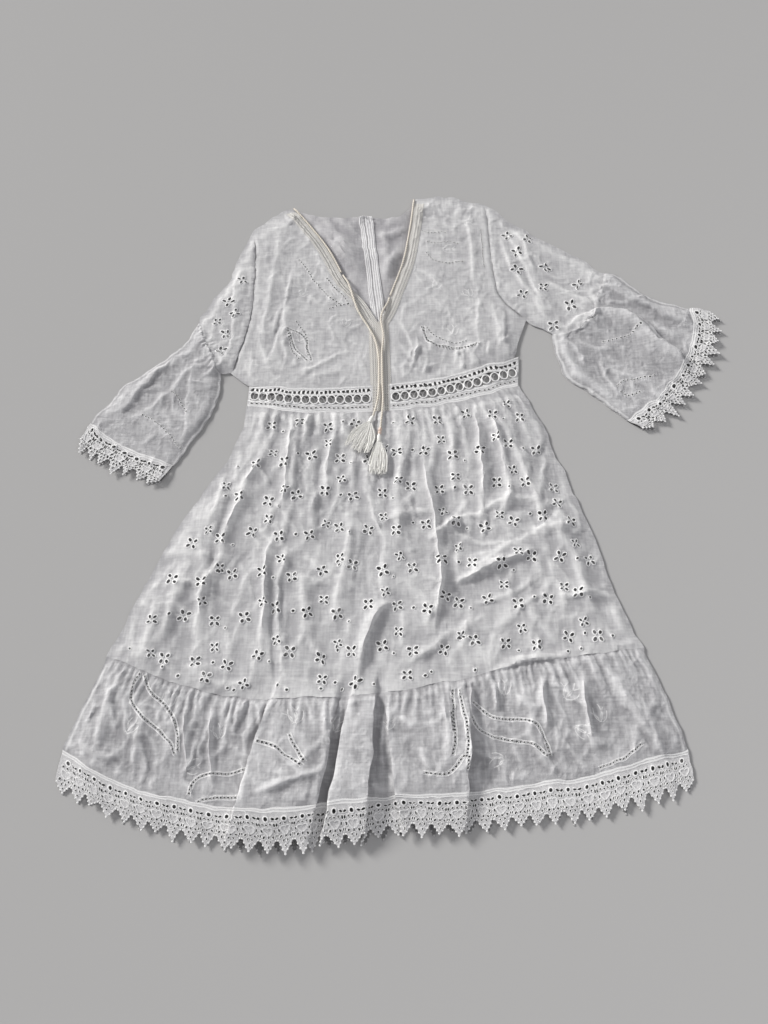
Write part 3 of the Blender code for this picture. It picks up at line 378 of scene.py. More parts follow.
# Edges of laid-over folds: raised side, height and route
BODY_STEPS = laid_over(
    (-1, 26, 10, 275, -10, 251, -25, 209, -30, 160),
    (-1, 34, 82, 335, 73, 280, 66, 221),
    (-1, 32, -155, 356, -149, 280, -136, 156),
    (1, 30, -135, 363, -129, 267, -130, 165),
    (1, 28, 1, 392, -4, 335, -8, 280),
    (1, 28, 151, 546, 163, 498, 167, 452, 161, 400),
    (-1, 26, -88, 530, -92, 467, -92, 392, -87, 335),
    (-1, 26, -206, 452, -226, 363, -231, 267),
    (1, 28, 241, 422, 217, 385, 155, 352, 101, 335),
)
SLEEVE_STEPS_RIGHT = laid_over(
    (-1, 72, 258, 691, 284, 718, 313, 731, 352, 731, 388, 713, 422, 671, 445, 626, 460, 602),
    (1, 40, 332, 798, 343, 774, 390, 740, 435, 711, 474, 691),
    (1, 30, 190, 887, 213, 827, 228, 774, 248, 722),
    (1, 22, 248, 722, 250, 673, 265, 621, 311, 571, 359, 546),
)
SLEEVE_STEPS_LEFT = laid_over(
    (1, 26, -244, 827, -230, 755, -227, 682, -247, 616),
    (-1, 26, -286, 691, -315, 638, -353, 587, -390, 538),
    (1, 20, -273, 664, -283, 604, -283, 546, -284, 498),
)
BODICE_STEPS = laid_over(
    (1, 22, -194, 871, -196, 802, -195, 736, -188, 673),
    (1, 22, -138, 827, -150, 755, -156, 700, -179, 621),
    (-1, 22, 191, 861, 184, 793, 183, 718, 176, 647),
)

# Creases: half width, lean, height and route
BODY_FOLDS = creases(
    (7, 0.5, 55, -138, 556, -132, 528, -135, 470, -136, 431, -135, 395),
    (7, 0.5, 50, -136, 382, -147, 363, -154, 348, -153, 314, -153, 270, -157, 205),
    (5, -0.3, 30, -112, 538, -123, 490, -124, 443, -122, 410),
    (8, -0.4, 45, -127, 369, -131, 332, -135, 299, -132, 241, -126, 180),
    (6, 0.3, 30, -223, 470, -222, 431, -227, 410, -240, 371),
    (9, 0.4, 50, -178, 533, -171, 490, -185, 452, -195, 420, -212, 369, -216, 332, -235, 294, -237, 241, -237,
     180),
    (7, 0.3, 35, -59, 533, -76, 490, -79, 456, -75, 407),
    (4, 0.5, 30, -35, 453, -21, 420, -11, 388, 3, 356),
    (8, -0.5, 46, 18, 279, -8, 264, -22, 233, -29, 179),
    (12, 0, 40, -44, 422, -48, 340, -56, 292, -69, 228),
    (5, 0.6, 55, 127, 565, 133, 520, 135, 468, 133, 407),
    (5, 0.5, 50, 141, 562, 153, 541, 161, 505, 164, 468, 167, 434),
    (9, 0.3, 50, 162, 554, 177, 514, 196, 454, 209, 415, 217, 363),
    (6, 0.7, 65, 54, 514, 57, 448, 67, 393, 73, 340, 73, 302, 66, 243),
    (6, -0.3, 30, 49, 361, 77, 374, 116, 420),
    (6, 0.5, 40, 76, 292, 126, 317, 179, 340, 215, 352),
    (5, 0.3, 30, 127, 398, 151, 415, 182, 429),
    (4, 0.3, 30, 120, 182, 181, 200, 243, 209),
    (10, 0.3, 35, 232, 420, 237, 366, 252, 341, 260, 294, 274, 243),
    (7, 0.3, 30, 25, 191, 65, 219, 91, 247),
    (10, 0.2, 30, 23, 562, 25, 498, 19, 422, 27, 335),
    (7, 0.3, 30, 95, 559, 96, 498, 97, 422),
    (10, 0.2, 30, -292, 294, -298, 228, -313, 192),
    (9, 0.2, 30, -264, 335, -271, 280, -284, 215),
    (12, 0.2, 30, -111, 335, -102, 267, -106, 202),
    (9, 0.2, 25, 293, 280, 307, 228),
    (9, 0.2, 25, 177, 280, 200, 247, 223, 215),
    (5, 0.6, 35, -245, 146, -239, 101, -233, 65),
    (4, 0.6, 40, -212, 154, -213, 125, -207, 83, -204, 43),
    (4, 0.5, 30, -156, 154, -152, 130, -147, 111),
    (5, 0.4, 30, -149, 41, -114, 57, -72, 72),
    (6, 0.4, 30, -72, 153, -76, 118, -68, 92),
    (6, -0.4, 35, 14, 153, 8, 97, 14, 61, 22, 23),
    (4, 0.3, 30, 136, 177, 136, 135),
    (5, 0.5, 35, 194, 192, 195, 137, 197, 110),
    (6, 0.5, 45, 245, 197, 245, 149, 255, 83),
    (9, 0.3, 45, 281, 197, 296, 156, 311, 128, 324, 97),
    (6, 0.5, 35, 71, 165, 72, 105, 68, 66),
    (6, -0.6, 50, 109, 171, 103, 121, 96, 83, 102, 49),
    (4, 0.3, 25, 161, 160, 183, 137),
    (4, 0.4, 30, 201, 177, 238, 149, 253, 133),
    (4, 0.4, 25, 172, 121, 186, 88, 205, 59),
    (8, 0.3, 30, 313, 165, 329, 105, 339, 76),
    (4, 0.3, 25, 21, 133, 41, 114),
    (4, 0.3, 25, 46, 97, 55, 66),
    (9, 0.3, 30, -289, 153, -296, 105, -297, 65),
    (9, 0.3, 30, -336, 177, -342, 128, -348, 87),
    (6, 0.3, 20, -376, 111, -355, 93, -317, 82),
)
BODICE_FOLDS = creases(
    (9, 0.3, 40, -165, 924, -165, 860, -173, 781, -180, 705, -179, 630),
    (5, -0.5, 35, -142, 808, -145, 767, -160, 713, -169, 664),
    (8, 0.5, 40, -143, 753, -149, 699, -144, 653, -123, 626),
    (5, 0.3, 30, -129, 612, -97, 634, -67, 650, -40, 660),
    (4, 0.2, 20, -122, 606, -94, 619, -57, 626),
    (6, 0.4, 35, 18, 722, 40, 676, 50, 643),
    (5, 0.2, 25, 16, 682, 41, 647, 65, 626),
    (5, 0.4, 30, 48, 813, 79, 788, 101, 760),
    (9, 0.1, 25, 73, 851, 103, 827, 134, 816),
    (7, 0.5, 40, 130, 928, 136, 860, 136, 795, 146, 767),
    (5, 0.4, 30, 146, 767, 141, 719, 141, 653),
    (8, 0.2, 25, 93, 755, 107, 709, 128, 673),
    (3, 0, 12, -126, 689, -80, 693),
    (9, 0.1, 20, -117, 871, -92, 802, -67, 755),
    (6, 0.2, 25, 58, 943, 90, 922, 115, 926),
    (6, 0.2, 20, 66, 901, 98, 895, 124, 871),
    (6, 0.2, 25, 175, 718, 181, 664, 189, 638),
    (5, 0.2, 25, 162, 755, 171, 700, 171, 647),
    (6, 0.2, 25, -194, 700, -181, 661, -160, 626),
    (4, 0.2, 20, 82, 633, 92, 661, 99, 686),
    (3, 0.2, 18, 106, 636, 110, 664),
    (3, 0.2, 18, 60, 623, 65, 650),
    (4, 0.2, 20, 127, 640, 130, 675),
    (3, 0.2, 16, 149, 647, 149, 678),
)
LEFT_FOLDS = creases(
    (4, -0.3, 25, -196, 857, -197, 799, -198, 756, -197, 711),
    (4, 0.3, 25, -242, 802, -237, 759, -228, 727),
    (7, 0.4, 45, -261, 659, -301, 606, -330, 568, -367, 537),
    (5, 0.3, 30, -308, 599, -299, 562, -272, 540),
    (6, 0.4, 35, -234, 613, -248, 568, -266, 534, -277, 503),
    (4, 0.3, 28, -291, 613, -264, 603, -241, 597),
    (7, 0.2, 30, -274, 673, -315, 633, -354, 592, -389, 549),
    (6, 0.2, 20, -234, 831, -245, 774, -256, 727),
    (4, 0.3, 22, -345, 553, -320, 531, -284, 491),
    (5, 0.2, 25, -251, 664, -236, 643, -212, 636),
)
RIGHT_FOLDS = creases(
    (9, -0.6, 90, 330, 737, 362, 725, 390, 694, 412, 668, 436, 646, 454, 621),
    (6, -0.4, 50, 241, 789, 265, 777, 297, 755, 335, 738),
    (5, 0.4, 40, 181, 895, 192, 831, 209, 785, 229, 758, 244, 725, 257, 702),
    (5, 0.3, 35, 196, 898, 221, 859, 226, 819, 237, 788),
    (5, 0.3, 40, 369, 722, 412, 702, 445, 677),
    (6, 0.3, 35, 258, 689, 271, 643, 300, 599, 337, 569),
    (4, 0.4, 30, 317, 656, 323, 611, 345, 576),
    (9, 0.2, 35, 351, 774, 390, 740, 440, 714, 476, 704),
    (4, 0.2, 25, 263, 682, 284, 661, 295, 626),
    (5, 0.2, 25, 285, 678, 314, 664, 343, 661),
    (7, 0.2, 25, 270, 841, 299, 827, 321, 808),
    (4, 0.2, 20, 325, 630, 357, 616, 388, 606),
    (5, 0.2, 22, 376, 626, 393, 592, 409, 571),
)
NECKBACK_FOLDS = creases(
    (5, 0.4, 30, -117, 901, -81, 860, -39, 806),
    (4, 0.3, 20, -103, 916, -60, 855, -41, 827),
    (5, 0.3, 20, -13, 871, 13, 879, 38, 895),
    (5, 0.3, 22, 0, 783, 13, 827, 28, 859),
    (4, 0.3, 18, -87, 907, -62, 899, -44, 875),
    (4, 0.3, 18, -6, 895, 3, 859, 0, 827),
)
NECKBACK_STEPS = laid_over(
    (1, 36, -106, 893, -72, 862, -36, 832),
    (1, 40, -92, 864, -64, 833, -34, 800),
    (-1, 28, -4, 862, 10, 833, 12, 800),
)


# Lines and heights
def run_of(line):
    """Length along a line up to each of its points."""
    return np.concatenate([[0.0], np.cumsum(np.linalg.norm(np.diff(line, axis=0), axis=1))])


def at_shares(line, shares):
    """Points on a line at shares of its length."""
    run = run_of(line)
    goal = np.asarray(shares) * run[-1]
    return np.stack([np.interp(goal, run, line[:, axis]) for axis in range(line.shape[1])], axis=-1)


def ways(line):
    """Direction of travel of a line at each of its points, and the direction to its left."""
    way = np.gradient(line, axis=0)
    way /= np.linalg.norm(way, axis=1)[:, None]
    return way, np.stack([-way[:, 1], way[:, 0]], axis=-1)


def curve(route, count):
    """Points evenly spaced on a smooth curve through a route."""
    path = np.array(route, float)
    path = np.vstack([2 * path[0] - path[1], path, 2 * path[-1] - path[-2]])
    part = (np.arange(16) / 16)[:, None]
    fine = []
    for a, b, c, d in zip(path, path[1:], path[2:], path[3:]):
        fine.append(0.5 * (2 * b + (c - a) * part + (2 * a - 5 * b + 4 * c - d) * part ** 2
                           + (3 * b - a - 3 * c + d) * part ** 3))
    return at_shares(np.vstack(fine + [path[-2:-1]]), np.linspace(0, 1, count + 1))


def long_of(line):
    """Length of a line."""
    return float(np.linalg.norm(np.diff(line, axis=0), axis=1).sum())


def ease(value):
    """Soft step from 0 to 1."""
    value = np.clip(value, 0.0, 1.0)
    return value * value * (3 - 2 * value)


def tapered(share, part):
    """Soft rise and fall at the ends of a line, each over a part of it."""
    return ease(share / part) * ease((1 - share) / part)


def bell(value, middle, wide):
    """A bump that is 1 at its middle and runs out on both sides."""
    return np.exp(-((value - middle) / wide) ** 2)


def beside(spots, line):
    """For each spot its distance from a line, the share along it, and its side: 1 left of travel, -1 right."""
    steps = np.linalg.norm(np.diff(line, axis=0), axis=1)
    run = run_of(line)
    least = np.full(len(spots), 9.0)
    share = np.zeros(len(spots))
    side = np.ones(len(spots))
    for number, (a, b) in enumerate(zip(line, line[1:])):
        way = b - a
        part = np.clip(((spots - a) @ way) / (way @ way), 0, 1)
        away = spots - a - part[:, None] * way
        far = np.hypot(away[:, 0], away[:, 1])
        near = far < least
        least[near] = far[near]
        share[near] = (run[number] + part[near] * steps[number]) / run[-1]
        side[near] = np.sign(way[0] * away[near, 1] - way[1] * away[near, 0])
    return least, share, side


def close_to(spots, line, reach):
    """Numbers of the spots in the box round a line, wider by a reach on each side."""
    low, top = line.min(axis=0) - reach, line.max(axis=0) + reach
    return np.flatnonzero(np.all((spots > low) & (spots < top), axis=1))


def inside(spots, loop):
    """Which spots lie inside a closed outline."""
    hit = np.zeros(len(spots), bool)
    x, y = spots[:, 0], spots[:, 1]
    for a, b in zip(loop, np.roll(loop, -1, axis=0)):
        if a[1] != b[1]:
            hit ^= ((a[1] > y) != (b[1] > y)) & (x < (b[0] - a[0]) * (y - a[1]) / (b[1] - a[1]) + a[0])
    return hit


def from_edge(spots, loop):
    """Distance of spots from the edge of an outline."""
    return beside(spots, np.vstack([loop, loop[:1]]))[0]


def well_inside(spot, loop, margin):
    """Whether a spot lies inside an outline, further from its edge than a margin."""
    place = np.array([spot])
    return inside(place, loop)[0] and from_edge(place, loop)[0] > margin


def cloud(spots, size, seed):
    """Soft uneven noise from -1 to 1, its lumps about a size across."""
    table = np.random.default_rng(seed).uniform(-1, 1, (89, 89))
    place = spots / np.asarray(size) + 500
    whole = np.floor(place).astype(int)
    part = place - whole
    part = part * part * (3 - 2 * part)
    i, j = whole[:, 0] % 89, whole[:, 1] % 89
    low = table[i, j] * (1 - part[:, 0]) + table[(i + 1) % 89, j] * part[:, 0]
    high = table[i, (j + 1) % 89] * (1 - part[:, 0]) + table[(i + 1) % 89, (j + 1) % 89] * part[:, 0]
    return low * (1 - part[:, 1]) + high * part[:, 1]


def crinkle(spots, size, seed):
    """Fine sharp wrinkles from 0 to 1, in no one direction."""
    bend = np.stack([cloud(spots, 0.03, seed + 5), cloud(spots, 0.03, seed + 6)], axis=-1) * 0.012
    first = 1 - np.abs(cloud(spots + bend, size, seed))
    second = 1 - np.abs(cloud(spots * (1.0, 0.8) + bend, 0.5 * np.asarray(size), seed + 1))
    return 0.65 * first ** 4 + 0.35 * second ** 4


def wobble(spots):
    """Small unevenness of every edge and seam, none at the neck and the centre front."""
    neck = beside(spots, np.vstack([NECK_LEFT_LINE, NECK_RIGHT_LINE[::-1], WAIST_CENTRE]))[0]
    uneven = np.stack([cloud(spots, 0.022, seed) + 0.5 * cloud(spots, 0.009, seed + 1) for seed in (71, 73)],
                      axis=-1)
    arm = ease((np.abs(spots[:, 0]) - 0.21) / 0.03) * ease((spots[:, 1] - 0.42) / 0.03)
    shift = uneven * (0.0018 + 0.0014 * arm)[:, None] * ease((neck - 0.010) / 0.040)[:, None]
    scrunched = ease(1 - beside(spots, SHOULDER_LEVEL)[0] / 0.055) * ease((neck - 0.005) / 0.012)
    shift[:, 1] += 0.0034 * cloud(spots, 0.011, 75) * scrunched
    return shift


def fold_sum(spots, folds):
    """Height of the creases at each spot."""
    total = np.zeros(len(spots))
    for route, wide, lean, high in folds:
        line = curve(route, 14)
        near = close_to(spots, line, 3 * wide)
        if len(near):
            far, share, side = beside(spots[near], line)
            flank = wide * (1 + lean * side)
            total[near] += high * tapered(share, 0.3) * np.exp(-(far / flank) ** 1.3)
    return total


def step_sum(spots, steps, reach=0.040, flank=0.0034):
    """Height of laid-over folds: a crisp edge that sinks back into the cloth on its raised side."""
    total = np.zeros(len(spots))
    for route, raised_side, high in steps:
        far, share, side = beside(spots, curve(route, 20))
        into = far * side * raised_side
        total += high * tapered(share, 0.25) * ease(into / flank + 0.5) * bell(np.maximum(into, 0), 0, reach)
    return total


def gathers(share, down, count, seed, reach, high):
    """Height of gathers below a seam: uneven ridges that widen and sink as they run down."""
    chance = random.Random(seed)
    total = np.zeros(len(share))
    for number in range(count):
        middle = (number + 0.5 + chance.uniform(-0.3, 0.3)) / count
        own = reach * chance.uniform(0.25, 1.0) ** 1.5
        size = high * chance.uniform(0.45, 1.0)
        drift = chance.uniform(-0.7, 0.7) / count
        part = np.clip(down / own, 0, 1)
        half = (0.30 + 0.35 * part) / count
        near = np.abs(share - middle - drift * part) < 3 * half
        shape = bell(share[near] - middle, drift * part[near], half[near])
        total[near] += size * shape * (1 - ease(part[near])) * (0.45 + 0.55 * ease(down[near] / 0.006))
    return total


def wrinkles(corner, far_corner, count, seed, way, spread, long, wide, high):
    """Small sharp creases strewn over a rectangle, as fold rows. Way is their usual direction in degrees."""
    chance = random.Random(seed)
    rows = []
    for _ in range(count):
        x, y = chance.uniform(corner[0], far_corner[0]), chance.uniform(corner[1], far_corner[1])
        turn = math.radians(way + chance.gauss(0, spread))
        reach = long * chance.uniform(0.45, 1.3) / 2
        bow = reach * chance.uniform(-0.35, 0.35)
        c, s = math.cos(turn), math.sin(turn)
        spots = ((x - reach * c, y - reach * s), (x - bow * s, y + bow * c), (x + reach * c, y + reach * s))
        rows.append((spots, wide * chance.uniform(0.6, 1.4), chance.uniform(-0.6, 0.6),
                     high * chance.uniform(0.4, 1.2)))
    return tuple(rows)


def scaled(folds, wide_by, high_by):
    """Creases made wider and higher."""
    return tuple((route, wide * wide_by, lean, high * high_by) for route, wide, lean, high in folds)


BODICE_FOLDS = scaled(BODICE_FOLDS, 0.85, 0.62)
BODY_FOLDS = scaled(BODY_FOLDS, 0.88, 1.35)
SKIRT_WRINKLES = (
    wrinkles((-0.33, 0.18), (0.32, 0.40), 110, 1, 80, 34, 0.060, 0.0032, 0.0016)
    + wrinkles((-0.20, 0.36), (0.24, 0.57), 80, 2, 88, 14, 0.080, 0.0034, 0.0022)
    + wrinkles((0.02, 0.20), (0.30, 0.42), 26, 3, 20, 16, 0.110, 0.0045, 0.0026)
    + wrinkles((-0.34, 0.18), (-0.05, 0.34), 16, 4, 160, 18, 0.090, 0.0045, 0.0022)
)
RUFFLE_WRINKLES = (
    wrinkles((-0.38, 0.04), (0.37, 0.21), 170, 5, 86, 22, 0.050, 0.0030, 0.0018)
    + wrinkles((-0.38, 0.04), (0.37, 0.21), 90, 6, 20, 50, 0.040, 0.0026, 0.0013)
)
BODICE_WRINKLES = (
    wrinkles((-0.21, 0.61), (0.20, 0.94), 240, 7, 70, 60, 0.034, 0.0026, 0.0009)
    + wrinkles((0.03, 0.61), (0.20, 0.67), 30, 8, 82, 14, 0.045, 0.0026, 0.0020)
    + wrinkles((-0.20, 0.60), (-0.02, 0.66), 16, 9, 84, 16, 0.035, 0.0026, 0.0014)
)
SLEEVE_WRINKLES = {
    "left": wrinkles((-0.42, 0.48), (-0.20, 0.88), 150, 10, 60, 50, 0.040, 0.0026, 0.0010),
    "right": wrinkles((0.17, 0.55), (0.47, 0.93), 190, 11, -50, 50, 0.042, 0.0026, 0.0010),
}
SLEEVE_STEPS = {"left": SLEEVE_STEPS_LEFT, "right": SLEEVE_STEPS_RIGHT}
BACK_NECK_LINE = curve(BACK_NECK, 24)
NECK_LEFT_LINE, NECK_RIGHT_LINE = (curve(NECK[side], 12) for side in NECK)
WAIST_CENTRE = np.array(((-0.0065, 0.700), (-0.0045, 0.640), (-0.0045, 0.560)))
WAIST_TOP_LINE = curve(WAIST_TOP, 40)
WAIST_LOW_LINE = curve(WAIST_LOW, 40)
RUFFLE_LINE = curve(RUFFLE_SEAM, 60)
LACE_LINE = curve(LACE_SEAM, 60)
SHOULDER_LEVEL = np.array(((-0.26, 0.93), (0.26, 0.95)))
SHOULDER_LINES = [curve(SHOULDER[side], 12) for side in SHOULDER]
SIDE_LINES = [np.array((ARMHOLE[side][-1], WAIST_TOP[spot])) for side, spot in (("left", 0), ("right", -1))]
ARM_LINES = [curve(ARMHOLE[side], 24) for side in ARMHOLE]


def seam_y(line, x):
    """Height up the dress of a crossing seam."""
    return np.interp(x, line[:, 0], line[:, 1])


def sides_at(y):
    """Left and right edge of the body."""
    return np.interp(y, SIDES[:, 0], SIDES[:, 1]), np.interp(y, SIDES[:, 0], SIDES[:, 2])


def flap_lift(spots):
    """Height and sideways push of the pressed-over folds."""
    lift = np.zeros(len(spots))
    push = np.zeros(len(spots))
    x, y = spots[:, 0], spots[:, 1]
    for top, left_top, right_top, left_hem, right_hem, high, over in FLAPS:
        down = np.clip((top - y) / (top - HEM_LEVEL), 0, 1.4)
        left = left_top + (left_hem - left_top) * down
        right = right_top + (right_hem - right_top) * down
        rise = ease((x - left) / FLAP_FLANK + 0.5) * ease((right - x) / FLAP_FLANK + 0.5)
        grown = ease(down * 1.6)
        lift += high * grown * rise
        across = (x - (left + right) / 2) / np.maximum((right - left) / 2, FLAP_FLANK)
        push += over * grown * rise * np.clip(across, -1, 1)
    return lift, push


def body(spots):
    """Front of the skirt, ruffle and waistband: height, sideways push, room to the side seams, share across."""
    x, y = spots[:, 0], spots[:, 1]
    left, right = sides_at(y)
    edge = np.minimum(x - left, right - x)
    low = seam_y(WAIST_LOW_LINE, x)
    waist = np.minimum(np.abs(seam_y(WAIST_TOP_LINE, x) - y), np.abs(low - y))
    fade = ease(edge / SIDE_FADE) * ease(waist / WAIST_FADE) * (y < low)
    lift, push = flap_lift(spots)
    swell = 0.0012 * cloud(spots, (0.05, 0.08), 3) + 0.0006 * cloud(spots, (0.02, 0.03), 4)
    folded = fold_sum(spots, BODY_FOLDS) + step_sum(spots, BODY_STEPS, 0.040, 0.0058) + swell
    height = REST + PUFF * ease(edge / PUFF_REACH) + fade * (np.maximum(folded, -0.0030) + lift)
    return height, push * fade, edge, (x - left) / (right - left)


def flat_body(spots):
    """The front without its sideways push, as the waistband lies."""
    return body(spots)[0], np.zeros(len(spots))


def skirt(spots):
    """Front of the skirt with its gathers."""
    height, push, edge, share = body(spots)
    x, y = spots[:, 0], spots[:, 1]
    down = np.maximum(seam_y(WAIST_LOW_LINE, x * 0.8) - y, 0)
    near = ease(edge / 0.012)
    along = np.stack([share * 0.50, y], axis=-1)
    height += gathers(share, down, 46, 11, 0.150, 0.0040) * near
    height += fold_sum(spots, SKIRT_WRINKLES) * near * ease(down / 0.010)
    height += 0.0016 * crinkle(along, (0.018, 0.110), 8) * near * ease(down / 0.020)
    height += 0.0006 * crinkle(spots, (0.022, 0.026), 18) * near * ease(down / 0.010)
    return height, push


def ruffle(spots):
    """Front of the ruffle: thin cloth, gathered at its seam and crumpled all over."""
    height, push, edge, share = body(spots)
    x, y = spots[:, 0], spots[:, 1]
    down = np.maximum(seam_y(RUFFLE_LINE, x) - y, 0)
    near = ease(edge / 0.012)
    low = near * ease((y - seam_y(LACE_LINE, x)) / 0.012)
    along = np.stack([share * 0.75, y], axis=-1)
    height += gathers(share, down, 96, 23, 0.135, 0.0032) * near
    height += fold_sum(spots, RUFFLE_WRINKLES) * low * ease(down / 0.006)
    height += 0.0014 * crinkle(along, (0.016, 0.070), 29) * low * ease(down / 0.008)
    height += 0.0011 * crinkle(spots, (0.018, 0.028), 31) * low * ease(down / 0.008)
    return height, push


def hem(spots):
    """Front of the hem lace."""
    height, push, edge, _ = body(spots)
    down = seam_y(LACE_LINE, spots[:, 0]) - spots[:, 1]
    height = REST + (height - REST) * (1 - LACE_DROOP * ease(down / 0.050))
    return height + 0.0007 * cloud(spots, (0.020, 0.030), 12) * ease(edge / 0.012), push


def nearest(spots, lines):
    """Distance from the nearest of some lines."""
    return np.min([beside(spots, line)[0] for line in lines], axis=0)


def bodice(spots):
    """Front of the bodice: down at the shoulders, side seams and armholes."""
    low = ease(nearest(spots, SHOULDER_LINES + SIDE_LINES) / EDGE_REACH)
    arm = nearest(spots, ARM_LINES)
    centre = ease((np.abs(spots[:, 0] + 0.006) - 0.008) / 0.02)
    waist = spots[:, 1] - seam_y(WAIST_TOP_LINE, spots[:, 0])
    fade = low * ease(arm / EDGE_REACH) * ease(waist / 0.012)
    soft = 0.0010 * cloud(spots, 0.035, 2) + 0.0008 * crinkle(spots, 0.018, 41)
    soft = soft + fold_sum(spots, BODICE_WRINKLES) + step_sum(spots, BODICE_STEPS, 0.020)
    top = beside(spots, SHOULDER_LEVEL)[0]
    soft = soft + 0.0026 * ease(1 - top / 0.075) * crinkle(spots, (0.012, 0.022), 48)
    height = REST + low * BODICE_PUFF + fade * centre * (fold_sum(spots, BODICE_FOLDS) + soft)
    height = height + (0.0006 * bell(arm, 0.0055, 0.004) - 0.0010 * bell(arm, 0, 0.0022)) * low
    return height + 0.0004 * bell(arm, 0, 0.007) * crinkle(spots, 0.006, 44) * low, np.zeros(len(spots))


def back(spots):
    """The back lies flat, a little wrinkled inside."""
    return 0.0003 * ease(cloud(spots, 0.04, 6)), np.zeros(len(spots))


def back_bodice(spots):
    """Back of the bodice: flat below the front, softly wrinkled where the neck shows it."""
    x, y = spots[:, 0], spots[:, 1]
    necks = [curve(NECK[side], 30)[::-1] for side in NECK]
    left, right = (np.interp(y, line[:, 1], line[:, 0]) for line in necks)
    shown = ease((np.minimum(x - left, right - x) - 0.002) / 0.012) * (y > 0.712)
    soft = 0.0012 + 0.0010 * cloud(spots, (0.02, 0.035), 9)
    below_edge = beside(spots, BACK_NECK_LINE)[0]
    edge = 0.0009 * bell(below_edge, 0.0016, 0.0014)
    edge = edge + 0.0034 * bell(below_edge, 0.004, 0.012) * crinkle(spots, (0.008, 0.030), 47)
    laid_over_it = step_sum(spots, NECKBACK_STEPS, 0.020, 0.0036)
    return shown * (soft + 2.1 * fold_sum(spots, NECKBACK_FOLDS) + laid_over_it + edge), np.zeros(len(spots))


def sleeve(side):
    """Height of the front of a sleeve, as a function of spots."""
    shape = SLEEVE[side]
    edges = [curve(shape[name], 20) for name in ("outer", "inner", "flare_outer", "flare_inner")]
    arm, seam, cuff = curve(ARMHOLE[side], 20), curve(shape["flare_seam"], 30), curve(shape["lace_seam"], 24)
    way = cuff[6] - seam[15]
    folds, count = {"left": (LEFT_FOLDS, 13), "right": (RIGHT_FOLDS, 15)}[side]

    def lift(spots):
        edge = nearest(spots, edges)
        low = ease(edge / SLEEVE_EDGE_REACH)
        arm_far = beside(spots, arm)[0]
        fade = low * ease(arm_far / EDGE_REACH)
        seam_far, seam_share, _ = beside(spots, seam)
        below = ((spots - at_shares(seam, seam_share)) @ way) > 0
        soft = 0.0008 * cloud(spots, 0.03, 14) + 0.0004 * crinkle(spots, 0.024, 51)
        soft = soft + 0.0009 * crinkle(spots, 0.020, 61) * below * ease(seam_far / 0.006)
        soft = soft + fold_sum(spots, SLEEVE_WRINKLES[side]) + step_sum(spots, SLEEVE_STEPS[side], 0.030)
        height = REST + low * BODICE_PUFF + fade * (FOLD_SHARE[side] * fold_sum(spots, folds) + soft)
        wave = gathers(seam_share, np.where(below, seam_far, 9.0), count, 5, 0.055, 0.0026)
        seamed = 0.0008 * bell(arm_far, 0.004, 0.005) - 0.0008 * bell(arm_far, 0, 0.002)
        seamed = seamed + 0.0018 * bell(arm_far, 0, 0.018) * crinkle(spots, (0.012, 0.010), 45)
        seamed = seamed + 0.0030 * bell(seam_far, 0, 0.017) * crinkle(spots, (0.008, 0.013), 46)
        return height + wave * ease(edge / 0.010) + seamed * low, np.zeros(len(spots))

    return lift


# Cutting a panel
def oval(spot, turn, size, sides):
    """Loop of points round an oval hole."""
    angle = np.arange(sides) * 2 * math.pi / sides
    long, wide = np.cos(angle) * size[0] / 2, np.sin(angle) * size[1] / 2
    c, s = math.cos(turn), math.sin(turn)
    return np.stack([spot[0] + long * c - wide * s, spot[1] + long * s + wide * c], axis=-1)


def in_hole(spots, hole, more=0.0):
    """Numbers of the spots that lie in a hole, or that much round it."""
    spot, turn, size = hole[:3]
    reach = max(size) / 2 + more
    near = np.flatnonzero((np.abs(spots[:, 0] - spot[0]) < reach) & (np.abs(spots[:, 1] - spot[1]) < reach))
    away = spots[near] - spot
    c, s = math.cos(turn), math.sin(turn)
    long = (away[:, 0] * c + away[:, 1] * s) / (size[0] / 2 + more)
    wide = (away[:, 1] * c - away[:, 0] * s) / (size[1] / 2 + more)
    return near[long * long + wide * wide < 1]


def grid(loop, step, seed=1):
    """Staggered points over an outline, a little uneven, clear of its edge."""
    low, high = loop.min(axis=0), loop.max(axis=0)
    rows = []
    for number, y in enumerate(np.arange(low[1], high[1], step * 0.87)):
        x = np.arange(low[0], high[0], step) + (number % 2) * step / 2
        rows.append(np.stack([x, np.full(len(x), y)], axis=-1))
    spots = np.vstack(rows)
    spots = spots + np.random.default_rng(seed).uniform(-0.12, 0.12, spots.shape) * step
    spots = spots[inside(spots, loop)]
    return spots[from_edge(spots, loop) > step * 0.4]


def dense_loop(loop, step):
    """An outline with points no further apart than a step."""
    found = []
    for a, b in zip(loop, np.roll(loop, -1, axis=0)):
        count = max(1, int(round(np.linalg.norm(b - a) / step)))
        found.extend(a + (b - a) * number / count for number in range(count))
    return np.array(found)


def doubled_areas(flat, faces):
    """Twice the area of each triangle, below zero where it runs clockwise."""
    a, b, c = flat[faces[:, 0]], flat[faces[:, 1]], flat[faces[:, 2]]
    return (b[:, 0] - a[:, 0]) * (c[:, 1] - a[:, 1]) - (b[:, 1] - a[:, 1]) * (c[:, 0] - a[:, 0])


